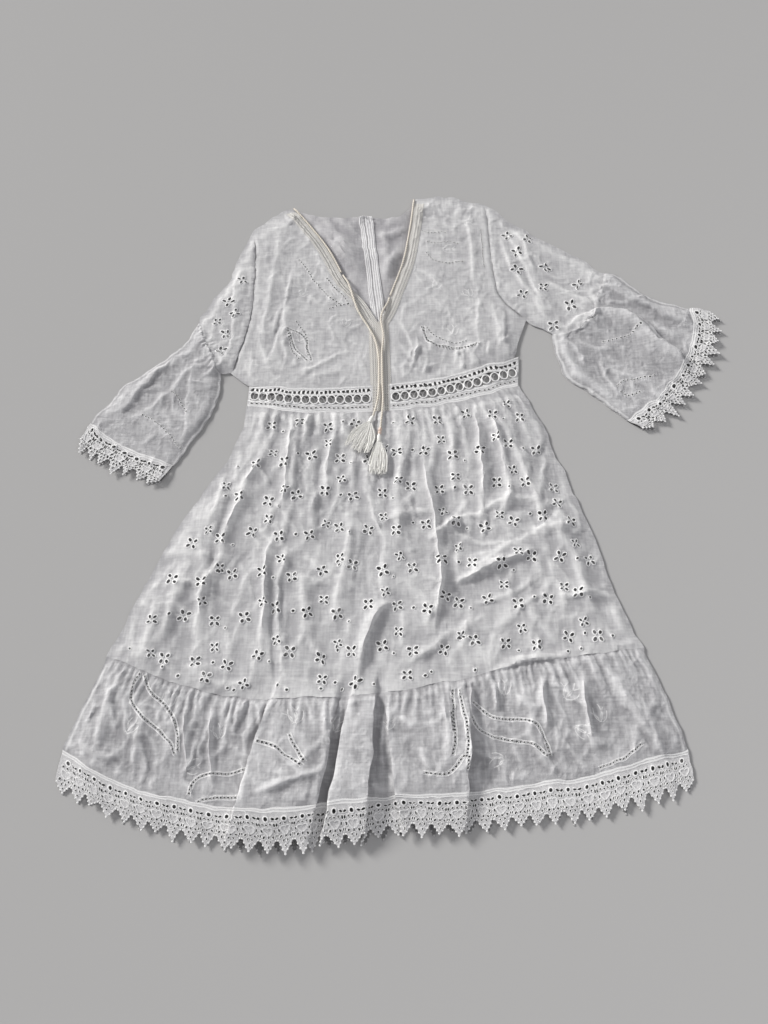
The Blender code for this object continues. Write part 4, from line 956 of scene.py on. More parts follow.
def cut(loop, step, holes=(), rails=(), seed=1, slots=()):
    """Flat pattern: points, triangles, and for each point how much of a stitched rim or rail it is.

    A hole is (middle, turn, size, sides, rim width, rim height), a rail (line, half width, height and
    sometimes how white it is), a slot a loop that is cut out.
    """
    points, rim, lift, edges = [], [], [], []
    start = 0

    def add(spots, white=0.0, high=0.0, links=()):
        nonlocal start
        points.append(spots)
        rim.append(np.full(len(spots), white))
        lift.append(np.full(len(spots), high))
        edges.extend((start + a, start + b) for a, b in links)
        start += len(spots)

    def ring(count):
        return [(number, (number + 1) % count) for number in range(count)]

    loop = dense_loop(loop, step)
    add(loop, links=ring(len(loop)))
    for slot in slots:
        add(slot, 0.6, links=ring(len(slot)))
    for spot, turn, size, sides, wide, high in holes:
        for out, share in ((0.0, 0.75), (0.5 * wide, 1.0), (wide, 0.0)):
            row = oval(spot, turn, (size[0] + 2 * out, size[1] + 2 * out), sides)
            add(row, min(1.0, share * 1.4), high * share, () if out else ring(sides))
    for line, half, high, *tone in rails:
        over = ways(line)[1]
        keep = inside(line, loop)
        for out, share in ((0.0, 1.0), (half, 0.0), (-half, 0.0)):
            row = (line + over * out)[keep]
            gaps = np.linalg.norm(np.diff(row, axis=0), axis=1)
            links = () if out else [(number, number + 1) for number in np.flatnonzero(gaps < RAIL_GAP).tolist()]
            add(row, share * (tone[0] if tone else 0.55), high * share, links)
    spots = grid(loop, step, seed)
    clear = np.ones(len(spots), bool)
    for slot in slots:
        clear &= ~inside(spots, slot)
    for hole in holes:
        clear[in_hole(spots, hole, hole[4] + 0.0004)] = False
    for line, half, *_ in rails:
        near = close_to(spots, line, 2 * half)
        if len(near):
            clear[near[beside(spots[near], line)[0] < half * 1.4]] = False
    add(spots[clear])
    rim, lift = np.concatenate(rim), np.concatenate(lift)
    made = delaunay_2d_cdt([Vector(point) for point in np.vstack(points)], edges, [], 0, 1e-6)
    flat = np.array([tuple(point) for point in made[0]])
    first = np.array([ids[0] if ids else -1 for ids in made[3]])
    rim = np.where(first < 0, 0.0, rim[first])
    lift = np.where(first < 0, 0.0, lift[first])
    faces = np.array([tuple(face) for face in made[2] if len(face) == 3])
    middle = flat[faces].mean(axis=1)
    size = doubled_areas(flat, faces)
    keep = inside(middle, loop) & (np.abs(size) > 1e-9)
    for slot in slots:
        keep &= ~inside(middle, slot)
    for hole in holes:
        keep[in_hole(middle, hole)] = False
    faces = np.where(size[:, None] < 0, faces[:, ::-1], faces)[keep]
    used = np.unique(faces)
    order = np.zeros(len(flat), int)
    order[used] = np.arange(len(used))
    return flat[used], order[faces], rim[used], lift[used]


def crests(faces, high):
    """How far each point stands above the cloth round it, from -1 to 1."""
    first = np.concatenate([faces[:, 0], faces[:, 1], faces[:, 2]])
    second = np.concatenate([faces[:, 1], faces[:, 2], faces[:, 0]])
    count = np.maximum(np.bincount(first, minlength=len(high)) + np.bincount(second, minlength=len(high)), 1)
    smooth = high.copy()
    for _ in range(14):
        total = np.bincount(first, smooth[second], len(high)) + np.bincount(second, smooth[first], len(high))
        smooth = 0.3 * smooth + 0.7 * total / count
    return np.clip((high - smooth) / 0.0007, -1, 1)


def as_piece(name, mesh, finish):
    """A mesh with its finish, put in the scene and selected alone."""
    mesh.materials.append(finish)
    piece = bpy.data.objects.new(name, mesh)
    bpy.context.collection.objects.link(piece)
    bpy.ops.object.select_all(action="DESELECT")
    piece.select_set(True)
    bpy.context.view_layer.objects.active = piece
    return piece


def shell(name, places, faces, finish, facts, pattern):
    """A thin cloth shell over a net of places; facts are point values that its finish reads."""
    corners = places[faces]
    normals = np.cross(corners[:, 1] - corners[:, 0], corners[:, 2] - corners[:, 0])
    sums = np.zeros_like(places)
    for column in range(3):
        np.add.at(sums, faces[:, column], normals)
    sums /= np.maximum(np.linalg.norm(sums, axis=1), 1e-12)[:, None]
    under = places - sums * THIN
    under[:, 2] = np.maximum(under[:, 2], 0.0)
    count = len(places)
    sides = np.vstack([faces[:, (0, 1)], faces[:, (1, 2)], faces[:, (2, 0)]])
    both = set(map(tuple, sides.tolist()))
    rim = [(b, a, a + count, b + count) for a, b in both if (b, a) not in both]
    mesh = bpy.data.meshes.new(name)
    mesh.from_pydata(np.vstack([places, under]).tolist(), [],
                     faces.tolist() + (faces[:, ::-1] + count).tolist() + rim)
    for word, values in facts.items():
        held = mesh.attributes.new(word, "FLOAT", "POINT")
        held.data.foreach_set("value", np.tile(values, 2).astype(np.float32))
    loops = np.zeros(len(mesh.loops), np.int32)
    mesh.loops.foreach_get("vertex_index", loops)
    layer = mesh.uv_layers.new(name="cloth")
    layer.data.foreach_set("uv", np.vstack([pattern, pattern])[loops].astype(np.float32).ravel())
    piece = as_piece(name, mesh, finish)
    bpy.ops.object.shade_smooth_by_angle(angle=math.radians(62))
    return piece


def tube_piece(name, path, radii, sides, finish, close=True):
    """A round tube along a path of points, its map round it and along it in metres."""
    path = np.asarray(path, float)
    way = ways(path)[0]
    over = np.cross(way, (0.0, 0.0, 1.0))
    over /= np.maximum(np.linalg.norm(over, axis=1), 1e-9)[:, None]
    run = run_of(path)
    angle = np.arange(sides) * 2 * math.pi / sides
    verts = [spot + radius * (math.cos(turn) * a + math.sin(turn) * b)
             for spot, radius, a, b in zip(path, np.broadcast_to(radii, len(path)), over, np.cross(over, way))
             for turn in angle]
    faces = []
    maps = []
    for row in range(len(path) - 1):
        for column in range(sides):
            corners = ((row, column), (row, column + 1), (row + 1, column + 1), (row + 1, column))
            faces.append(tuple(along * sides + around % sides for along, around in corners))
            maps.extend((around / sides, run[along]) for along, around in corners)
    if close:
        faces.append(tuple(reversed(range(sides))))
        faces.append(tuple(range((len(path) - 1) * sides, len(path) * sides)))
        maps.extend(((0.0, 0.0),) * (2 * sides))
    mesh = bpy.data.meshes.new(name)
    mesh.from_pydata([tuple(vert) for vert in verts], [], faces)
    mesh.uv_layers.new(name="cloth").data.foreach_set("uv", np.array(maps, np.float32).ravel())
    piece = as_piece(name, mesh, finish)
    bpy.ops.object.mode_set(mode="EDIT")
    bpy.ops.mesh.select_all(action="SELECT")
    bpy.ops.mesh.normals_make_consistent(inside=False)
    bpy.ops.object.mode_set(mode="OBJECT")
    bpy.ops.object.shade_smooth_by_angle(angle=math.radians(50))
    return piece


def moved(points):
    """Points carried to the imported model."""
    points = np.array(points, float)
    points[:, :2] -= MIDDLE
    return points


def laid(spots, push, high):
    """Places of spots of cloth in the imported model, with its small unevenness."""
    shift = wobble(spots)
    return np.stack([spots[:, 0] + push + shift[:, 0] - MIDDLE[0], spots[:, 1] + shift[:, 1] - MIDDLE[1], high],
                    axis=-1)


def joined(name, parts):
    """Several meshes made one piece."""
    bpy.ops.object.select_all(action="DESELECT")
    for part in parts:
        part.select_set(True)
    bpy.context.view_layer.objects.active = parts[0]
    bpy.ops.object.join()
    parts[0].name = name
    parts[0].data.name = name
    return parts[0]


def fitted(piece, node=None):
    """A piece that rides the model and in place of its node."""
    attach(piece, "root")
    if node:
        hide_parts(node)
    return piece


def picots(name, spots, size, finish):
    """Small flat knots of thread at the points of a lace, as one mesh."""
    around, rows = 8, ((0.45, 0.86), (0.80, 0.50), (1.0, 0.0))
    verts = []
    faces = []
    for x, y, z in spots:
        first = len(verts) + 1
        verts.append((x, y, z + size[1]))
        for out, high in rows:
            for number in range(around):
                turn = 2 * math.pi * number / around
                verts.append((x + out * size[0] * math.cos(turn), y + out * size[0] * math.sin(turn),
                              z + size[1] * high))
        verts.append((x, y, max(z - size[1] * 0.6, 0.0)))
        for number in range(around):
            after = (number + 1) % around
            faces.append((first - 1, first + number, first + after))
            for row in range(len(rows) - 1):
                low, top = first + row * around, first + (row + 1) * around
                faces.append((low + number, top + number, top + after, low + after))
            faces.append((top + number, len(verts) - 1, top + after))
    mesh = bpy.data.meshes.new(name)
    mesh.from_pydata(verts, [], faces)
    mesh.uv_layers.new(name="cloth")
    mesh.shade_smooth()
    return as_piece(name, mesh, finish)


def dressed(piece, node, area=None, with_pieces=()):
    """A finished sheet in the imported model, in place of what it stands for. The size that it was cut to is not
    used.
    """
    fitted(piece, node)
    return piece


def panel(node, loop, step, height, finish, holes=(), rails=(), up=0.0, ending="cloth", slots=(),
          with_pieces=()):
    """A cloth panel over its node's form, with its cut edges, stitched holes and rails."""
    flat, faces, rim, lift = cut(loop, step, holes, rails, len(node), slots)
    high, push = height(flat)
    piece = shell(f"{node}_{ending}", laid(flat, push, high + lift + THIN + up), faces, finish,
                  {"rim": rim, "crest": crests(faces, high)}, flat)
    wide, tall = (flat.max(axis=0) - flat.min(axis=0)).tolist()
    area = float(np.abs(doubled_areas(flat, faces)).sum() / 2)
    if area < NARROW * wide * tall:
        length = long_of(loop) / 2
        return dressed(piece, node, area=area)
    return dressed(piece, node, area=min(area, wide * tall), with_pieces=with_pieces)


# Outlines
def stretch(line, left, right):
    """Part of a crossing seam between two x places."""
    inner = line[(line[:, 0] > left + 1e-4) & (line[:, 0] < right - 1e-4)]
    ends = [np.array((x, seam_y(line, x))) for x in (left, right)]
    return np.vstack([ends[:1], inner, ends[1:]])


def body_outline(low, high):
    """Outline of a body piece between two seams."""
    share = np.arange(1, 20) / 20
    heights = [low[end, 1] + (high[end, 1] - low[end, 1]) * share for end in (0, -1)]
    left, right = (np.column_stack([sides_at(y)[column], y]) for column, y in enumerate(heights))
    return np.vstack([low, right, high[::-1], left[::-1]])


def sleeve_outlines(side):
    """Outlines of the upper sleeve and of its flare."""
    parts = {name: curve(route, {"inner": 4, "flare_seam": 24, "lace_seam": 24}.get(name, 16))
             for name, route in SLEEVE[side].items()}
    seam = parts["flare_seam"]
    arm = curve(ARMHOLE[side], 20)
    upper = (parts["outer"], seam, parts["inner"][::-1], arm[::-1])
    flare = (parts["flare_outer"], parts["lace_seam"], parts["flare_inner"][::-1], seam[::-1])
    return tuple(np.vstack([line[:-1] for line in lines]) for lines in (upper, flare))


def bodice_outline(side, front):
    """Outline of a half of the bodice, front or back."""
    arm = curve(ARMHOLE[side], 24)[::-1]
    shoulder = curve(SHOULDER[side], 12)[::-1]
    if front:
        centre = centre_front(10)
        neck = curve(NECK[side], 40)[:-1]
    else:
        centre = curve(OPENING, 24)
        centre[-1, 1] = seam_y(WAIST_TOP_LINE, centre[-1, 0])
        rim = curve(BACK_NECK, 30)
        left = rim[rim[:, 0] < centre[0, 0] - 0.002]
        neck = left if side == "left" else rim[rim[:, 0] > centre[0, 0] + 0.002][::-1]
    if side == "left":
        low = stretch(WAIST_TOP_LINE, WAIST_TOP[0][0], centre[-1, 0])[::-1]
    else:
        low = stretch(WAIST_TOP_LINE, centre[-1, 0], WAIST_TOP[-1][0])
    return np.vstack([centre[:-1], low[:-1], arm[:-1], shoulder[:-1], neck])


def centre_front(count):
    """Points down the centre front, from the neck to the waistband."""
    return np.linspace(CENTRE_TOP, (CENTRE_LOW, seam_y(WAIST_TOP_LINE, CENTRE_LOW)), count)


# Cutwork
def flower(spot, turn, own=1.0):
    """Four petal holes crossed on the diagonals."""
    found = []
    for number in range(4):
        way = turn + math.pi / 4 + number * math.pi / 2
        middle = np.array(spot) + PETAL_OUT * own * np.array((math.cos(way), math.sin(way)))
        found.append((middle, way, (PETAL[0] * own, PETAL[1] * own), 12, RIM, RIM_HIGH))
    return found


def flowers(loop, margin, seed):
    """The cutwork of a panel: rows of flowers, every other one with a companion up its right side."""
    chance = random.Random(seed)
    holes = []
    for row in range(-8, 16):
        for column in range(-16, 18):
            x = REPEAT_START[0] + (column + 0.5 * (row % 2)) * REPEAT_WIDE / 2
            y = REPEAT_START[1] + row * REPEAT_TALL + 0.006 * math.sin(column * 1.9 + row)
            y = y + REPEAT_SLOPE * x
            spots = [(x, y, 1.0), (x + COMPANION[0], y + COMPANION[1], 0.82)][:1 + (column + row) % 2]
            for *spot, own in spots:
                if well_inside(spot, loop, margin):
                    holes.extend(flower(spot, chance.uniform(-0.35, 0.35), own))
            for number, (across, up, size) in enumerate(EYELETS):
                spot = np.array((x + across, y + up))
                if (column * 3 + row * 2 + number) % 4 == 0 and well_inside(spot, loop, margin):
                    holes.append((spot, 0.6, (size, size * 0.85), 12, RIM, RIM_HIGH))
    return holes


def seam_row(holes, loop):
    """The skirt's flowers with the row of flowers and eyelets above the ruffle seam."""
    def apart(spot, others):
        return min(np.linalg.norm(np.array(spot) - hole[0]) for hole in others)

    clear = [spot for spot in SEAM_FLOWERS if well_inside(spot, loop, 0.0108) and apart(spot, holes) > 0.0180]
    found = list(holes) + placed_flowers(clear, 9)
    for spot in SEAM_EYELETS:
        if well_inside(spot, loop, 0.0040) and apart(spot, found) > 0.0068:
            found.append((np.array(spot), 0.4, (0.0036, 0.0030), 12, RIM, RIM_HIGH))
    return found


def spray(spot, turn, long):
    """Fine curved satin stitches fanned out from a spot, as rails."""
    rails = []
    share = np.linspace(0.0, 1.0, 8)
    for number in range(5):
        way = math.radians(turn + (number - 2) * 17)
        reach = long * (1 - 0.12 * abs(number - 2))
        run = 0.0035 + share * reach
        bow = 0.16 * reach * np.sin(share * math.pi) * (1 if number % 2 else -1)
        c, s = math.cos(way), math.sin(way)
        line = np.column_stack([spot[0] + run * c - bow * s, spot[1] + run * s + bow * c])
        rails.append((line, *SATIN_RAIL))
    return rails


def guides(low, high):
    """Rows of points along the crisp folds between two heights up the dress, so that their edges stay clean."""
    rails = []
    routes = [(curve(route, 40), 0.0029) for route, _, _ in BODY_STEPS]
    routes += [(curve(route, 40), wide * 0.45) for route, wide, _, tall in BODY_FOLDS if tall > 0.0045]
    for top, left_top, right_top, left_hem, right_hem, *_ in FLAPS:
        for start, end in ((left_top, left_hem), (right_top, right_hem)):
            routes.append((np.linspace((start, top - 0.020), (end, HEM_LEVEL), 60), FLAP_FLANK * 0.45))
    for line, half in routes:
        line = at_shares(line, np.linspace(0, 1, max(4, int(long_of(line) / 0.0034))))
        line = line[(line[:, 1] > low) & (line[:, 1] < high)]
        if len(line) > 3:
            rails.append((line, half, 0.0, 0.0))
    return rails


def placed_flowers(spots, seed, scale=1.0):
    """Flowers at places of their own."""
    chance = random.Random(seed)
    holes = []
    for spot in spots:
        own = scale * chance.uniform(0.88, 1.05)
        holes.extend(flower(spot, chance.uniform(-0.7, 0.7), own))
    return holes


def ladder(route):
    """A ladder-stitched line: two raised rails with a row of small holes between them."""
    line = curve(route, 40)
    way, over = ways(line)
    rails = [(line + over * LADDER_GAP / 2, *LADDER_RAIL), (line - over * LADDER_GAP / 2, *LADDER_RAIL)]
    steps = max(2, int(long_of(line) / LADDER_STEP))
    shares = (np.arange(steps) + 0.5) / steps
    turns = np.interp(shares, np.linspace(0, 1, len(way)), np.unwrap(np.arctan2(way[:, 1], way[:, 0])))
    holes = [(spot, turn, (0.0028, LADDER_GAP * 0.52), 8, 0.00035, 0.0003)
             for spot, turn in zip(at_shares(line, shares), turns)]
    return holes, rails


def rows_beside(line, way, parts, high):
    """Raised rows beside a line, at parts of a way across it."""
    return [(line + way * part, TRIM_RAIL, high) for part in parts]


def dots_beside(line, way, numbers, parts):
    """Small holes beside points of a line, at parts of a way across it."""
    return [(line[number] + way * part, *DOT) for number in numbers for part in parts]


def stitching(leaves, dots):
    """Holes and rails of ladder-stitched leaves and of curves of small dots."""
    holes = []
    rails = []
    for route in leaves:
        more, beside_them = ladder(route)
        holes.extend(more)
        rails.extend(beside_them)
    for route in dots:
        line = curve(route, 30)
        count = int(long_of(line) / DOT_STEP)
        holes.extend((spot, 0.0, (0.0026, 0.0026), 8, 0.0007, 0.0002)
                     for spot in at_shares(line, (np.arange(count) + 0.5) / count))
    return holes, rails


# Finishes
class Wire:
    """A value in a finish; sums of wires make math nodes."""

    def __init__(self, finish, socket):
        self.finish = finish
        self.socket = socket

    def sum(self, way, *others):
        return self.finish.node("Math", {"operation": way}, {0: self, **dict(enumerate(others, 1))})["Value"]

    def __add__(self, other):
        return self.sum("ADD", other)

    def __sub__(self, other):
        return self.sum("SUBTRACT", other)

    def __rsub__(self, other):
        return self.sum("MULTIPLY", -1.0) + other

    def __mul__(self, other):
        return self.sum("MULTIPLY", other)

    def above(self, other):
        return self.sum("MAXIMUM", other)

    def below(self, other):
        return self.sum("MINIMUM", other)

    def power(self, other):
        return self.sum("POWER", other)

    def sine(self):
        return self.sum("SINE")

    def size(self):
        return self.sum("ABSOLUTE")


class Outputs:
    """The outputs of a node by name."""

    def __init__(self, finish, node):
        self.finish = finish
        self.own = node

    def __getitem__(self, word):
        return Wire(self.finish, self.own.outputs[word])


class Finish:
    """A material built up from nodes."""

    def __init__(self, name):
        self.material = bpy.data.materials.new(name)
        self.material.use_nodes = True
        self.tree = self.material.node_tree
        self.shader = self.tree.nodes["Principled BSDF"]

    def node(self, kind, settings=None, values=None):
        """A node: its settings first, then the values and links of its sockets."""
        made = self.tree.nodes.new("ShaderNode" + kind)
        for word, value in (settings or {}).items():
            setattr(made, word, value)
        for word, value in (values or {}).items():
            self.set(made.inputs[word], value)
        return Outputs(self, made)

    def set(self, socket, value):
        if isinstance(value, Wire):
            self.tree.links.new(value.socket, socket)
        else:
            socket.default_value = value

    def surface(self, **values):
        """Values of the shader's sockets."""
        for word, value in {"Metallic": 0.0, **values}.items():
            self.set(self.shader.inputs[word.replace("_", " ")], value)
        return self.material

    def place(self):
        return self.node("TexCoord")["Object"]

    def pattern(self):
        return self.node("UVMap", {"uv_map": "cloth"})["UV"]

    def noise(self, size, detail=2.0):
        """Soft lumps of a size."""
        values = {"Vector": self.place(), "Scale": 1.0 / size, "Detail": detail}
        return self.node("TexNoise", None, values)["Fac"]

    def ridges(self, place, size, detail):
        """Sharp creases of a size."""
        values = {"Vector": place, "Scale": 1.0 / size, "Detail": detail}
        return self.node("TexNoise", {"noise_type": "RIDGED_MULTIFRACTAL"}, values)["Fac"]

    def drawn_out(self, place, scale):
        """Noise drawn out along an axis."""
        at = self.node("Mapping", None, {"Vector": place, "Scale": scale})["Vector"]
        return self.node("TexNoise", None, {"Vector": at, "Scale": 1.0})["Fac"]

    def value(self, word):
        return self.node("Attribute", {"attribute_name": word})["Fac"]

    def stitched(self, gain):
        """How far a point is stitched, from 0 to 1."""
        return (self.value("rim") * gain).below(1.0)

    def blend(self, share, first, second):
        made = self.tree.nodes.new("ShaderNodeMix")
        made.data_type = "RGBA"
        self.set(made.inputs[0], share)
        for socket, colour in ((made.inputs[6], first), (made.inputs[7], second)):
            self.set(socket, colour if isinstance(colour, Wire) else (*colour, 1.0))
        return Wire(self, made.outputs[2])

    def bump(self, height, deep=1.0):
        return self.node("Bump", None, {"Height": height, "Distance": deep, "Strength": 1.0})["Normal"]

    def axes(self, at):
        parts = self.node("SeparateXYZ", None, {0: at})
        return parts["X"], parts["Y"]


def threads(finish, at, pitch):
    """Height of a plain weave: threads over and under, a little uneven."""
    uneven = finish.noise(0.004) * 0.8
    warp, weft = ((axis * (2 * math.pi / pitch) + uneven).sine() for axis in finish.axes(at))
    return warp * weft * 0.5 + 0.5


def cloth_finish(name, thin, full, crinkle_size, crinkle_deep):
    """White cotton cloth: sheer and greyer where smooth, whiter where it is stitched or slubbed. It is also
    lighter on crests and darker in hollows, partly as sheer cloth doubled at folds and partly as painted
    highlight and painted shade.
    """
    finish = Finish(name)
    place = finish.place()
    weave = threads(finish, place, 0.0006)
    slub, weft = finish.drawn_out(place, (340.0, 50.0, 60.0)), finish.drawn_out(place, (60.0, 420.0, 60.0))
    cloudy, broad = finish.noise(0.012, 3.0), finish.noise(0.05)
    stitched = finish.stitched(1.6)
    white = (cloudy - 0.5) * 0.8 + (slub - 0.5) * 0.75 + (weft - 0.5) * 0.75 + (broad - 0.5) * 0.9
    # The crest value lightens ridges and darkens hollows: partly sheer cloth doubled at folds, partly painted
    # highlight and painted shade
    white = white + finish.value("crest") * 0.28 + 0.40 + weave * 0.10
    base = finish.blend(white.above(0.0).below(1.0), thin, full)
    colour = finish.blend(stitched, base, (0.93, 0.925, 0.915))
    wrinkle = finish.ridges(place, crinkle_size, 3.0)
    fine = finish.ridges(place, crinkle_size / 3, 2.0)
    thread_high = weave * 0.10 + slub * 0.10
    high = wrinkle * crinkle_deep + fine * (crinkle_deep * 0.42) + thread_high * 0.0012
    return finish.surface(Base_Color=colour, Roughness=0.92 - stitched * 0.25, Normal=finish.bump(high))


def lace_finish(name, shade):
    """Cotton lace: raised satin threads over a fine net."""
    # A shade below 1 darkens every tone of the lace: painted shade
    def tone(*parts):
        return tuple(shade * part for part in parts)

    finish = Finish(name)
    net = finish.node("TexVoronoi", {"feature": "DISTANCE_TO_EDGE"},
                      {"Vector": finish.pattern(), "Scale": 900.0, "Randomness": 0.4})["Distance"]
    cell = (net * 3.0).below(1.0)
    stitched = finish.stitched(1.5)
    ground = finish.blend(cell, tone(0.86, 0.855, 0.85), tone(0.52, 0.51, 0.52))
    colour = finish.blend(stitched, ground, tone(0.94, 0.935, 0.925))
    high = (1.0 - cell) * 0.0004 * (1.0 - stitched) + finish.noise(0.0012) * 0.00025
    return finish.surface(Base_Color=colour, Roughness=0.8, Normal=finish.bump(high))


def trim_finish():
    """Beige trimming: crossed threads in a ribbon."""
    finish = Finish("beige trimming")
    x, y = finish.axes(finish.pattern())
    cross = ((x + y) * (2 * math.pi / 0.0062)).sine().size() * ((x - y) * (2 * math.pi / 0.0062)).sine().size()
    fine = finish.noise(0.0015)
    tone = (cross * 0.75 + fine * 0.15 + finish.stitched(1.5) * 0.40).below(1.0)
    colour = finish.blend(tone, (0.47, 0.45, 0.42), (0.86, 0.845, 0.81))
    return finish.surface(Base_Color=colour, Roughness=0.85, Normal=finish.bump(cross * 0.0005 + fine * 0.0003))


def cord_finish(name, dark, light, turn, deep=1.0):
    """Twisted cotton cord; its map runs round the cord and along it in metres."""
    finish = Finish(name)
    x, y = finish.axes(finish.pattern())
    ply = (x * (2 * math.pi * 2) + y * (2 * math.pi / turn)).sine() * 0.5 + 0.5
    fibre = (x * (2 * math.pi * 14) + y * (2 * math.pi * 7 / turn)).sine() * 0.5 + 0.5
    # The ply term darkens the grooves between the plies: painted shade; the fibre and noise terms are the
    # thread's own uneven tone
    tone = ply.power(0.6) * 0.75 + fibre * 0.15 + finish.noise(0.001) * 0.2
    normal = finish.bump(ply.power(0.6) * 0.0006 + fibre * 0.0001, deep)
    return finish.surface(Base_Color=finish.blend(tone.below(1.0), dark, light), Roughness=0.8, Normal=normal)


def bead_finish():
    """Pale turned wood."""
    finish = Finish("pale wood")
    grain = finish.drawn_out(finish.place(), (900.0, 250.0, 900.0))
    colour = finish.blend(grain, (0.60, 0.44, 0.36), (0.80, 0.66, 0.57))
    return finish.surface(Base_Color=colour, Roughness=0.45, Normal=finish.bump(grain * 0.0001))


COTTON = cloth_finish("white cotton", (0.43, 0.425, 0.435), (0.76, 0.755, 0.75), 0.010, 0.0008)
VOILE = cloth_finish("white voile", (0.33, 0.325, 0.335), (0.69, 0.685, 0.69), 0.007, 0.0010)
BACK_CLOTH = cloth_finish("cotton below", (0.60, 0.59, 0.60), (0.76, 0.755, 0.755), 0.011, 0.0006)
TAPE_CLOTH = cloth_finish("cotton tape", (0.58, 0.57, 0.58), (0.82, 0.81, 0.81), 0.02, 0.0002)
# The cloth inside the neck is darker than the front cotton: painted shade under the front
NECK_CLOTH_IN_PAINTED_SHADE = cloth_finish("cotton inside the neck in painted shade", (0.38, 0.37, 0.385), (0.62, 0.61, 0.615), 0.011, 0.0006)
LACE = lace_finish("cotton lace", 1.0)
SHADED_LACE = lace_finish("cotton lace in shade", 0.34)
# Lace of the back waistband at 0.22 of the lace's tones: painted deep shade under the front band, so its holes
# read dark
LACE_IN_DEEP_PAINTED_SHADE = lace_finish("cotton lace inside in deep painted shade", 0.22)
STITCHES = cord_finish("white thread", (0.86, 0.855, 0.845), (0.96, 0.955, 0.945), 0.003, 0.2)
SHADED_STITCHES = cord_finish("white thread in shade", (0.50, 0.49, 0.49), (0.62, 0.61, 0.61), 0.003, 0.2)
TRIMMING = trim_finish()
CORDING = cord_finish("beige cord", (0.52, 0.46, 0.38), (0.86, 0.81, 0.72), 0.0042)
THREAD = cord_finish("tassel thread", (0.74, 0.725, 0.68), (0.92, 0.91, 0.875), 0.003, 0.03)
WOOD = bead_finish()


# Lace edging
def lace_strip(node, seam_route, edge_route, height, finish, thread, deep, open_more=1.0):
    """A lace edging worked out along its length, then laid from its seam to its points."""
    seam = curve(seam_route, 80)
    edge = curve(edge_route, 80)
    shares = np.linspace(0, 1, 700)
    middle_line = (at_shares(seam, shares) + at_shares(edge, shares)) / 2
    high, push = height(middle_line)
    run = run_of(np.column_stack([middle_line[:, 0] + push, middle_line[:, 1], high]))
    length = float(run[-1])
    tips = round(length / SCALLOP)
    wide = length / tips
    chance = random.Random(len(node))
    points_of = [(chance.uniform(-0.0030, 0.0024), chance.uniform(-0.0022, 0.0022)) for _ in range(tips)]

    def on_point(number, part):
        """A place on the edge of a scallop, which is as long and as crooked as its own point."""
        fall = 1 - abs(2 * part - 1)
        more, aside = points_of[number]
        x = (number + part) * wide + aside * fall ** 1.5
        return x, deep - SCALLOP_RISE * (1 - fall) + more * fall ** 1.5

    def hung(flat):
        """Where places of the flat lace hang, a little ragged, with the cloth's height and push there."""
        ragged = cloud(np.column_stack([flat[:, 0], np.zeros(len(flat))]), 0.017, 91)
        part = (flat[:, 1] / deep * (1 + 0.055 * ragged * (flat[:, 1] / deep) ** 3))[:, None]
        share = np.interp(flat[:, 0] + 0.0012 * ragged * part[:, 0] ** 2, run, shares)
        spots = at_shares(seam, share) * (1 - part) + at_shares(edge, share) * part
        return (spots, *height(spots))

    loop = []
    for number in range(tips):
        for step in range(35):
            x, y = on_point(number, step / 35)
            picot = abs(math.sin(math.pi * (step / 35 * PICOTS + 0.5))) ** 0.6
            loop.append((x, y - 0.0019 * (1 - picot)))
    loop.append((length, deep - SCALLOP_RISE))
    loop.extend((length * (1 - number / (tips * 4)), 0.0) for number in range(tips * 4 + 1))
    along = np.linspace(0.001, length - 0.001, tips * 8)
    rails = [(np.stack([along, np.full(tips * 8, depth)], axis=-1), *LACE_RAIL) for depth in (0.0014, 0.0040)]
    heart = np.linspace(0, 2 * math.pi, 25)[:-1]
    heart_x = 0.0058 * np.sin(heart) ** 3
    heart_y = 0.0232 - 0.0048 * (1.0 * np.cos(heart) - 0.38 * np.cos(2 * heart) - 0.12 * np.cos(3 * heart))
    holes = []
    for number in range(tips):
        middle = (number + 0.5) * wide
        for across, depth, turn, long, broad, sides in LACE_OPENINGS:
            stitched = (0.0016, 0.0006) if sides == 12 else (0.0005, 0.00035)
            for way in ((-1, 1) if across else (1,)):
                spot = np.array((middle + way * across * wide / 0.022, depth * deep / HEM_DEEP))
                holes.append((spot, way * turn, (long * open_more, broad * open_more), sides, *stitched))
        rails.append((np.stack([middle + heart_x, heart_y * deep / HEM_DEEP], axis=-1), *LACE_RAIL))
    holes = [hole for hole in holes if 0.004 < hole[0][0] < length - 0.004]
    flat, faces, rim, lift = cut(np.array(loop), LACE_STEP, holes, rails, len(node))
    spots, high, push = hung(flat)
    places = laid(spots, push, high + lift + THIN)
    if doubled_areas(places, faces).sum() < 0:
        faces = faces[:, ::-1]
    piece = shell(f"{node}_edging", places, faces, finish, {"rim": rim, "crest": crests(faces, high)}, flat)
    knots = [on_point(number, 0.5 + lobe / PICOTS) for number in range(tips) for lobe in range(-3, 4)]
    spots, high, push = hung(np.array([(x, y - 0.0006) for x, y in knots]))
    spots = spots + wobble(spots) - MIDDLE + np.stack([push, 0 * push], axis=-1)
    points = picots(f"{node}_points", np.column_stack([spots, high + THIN * 0.4]), (0.0015, 0.0005), thread)
    return dressed(piece, node, with_pieces=[fitted(points)])


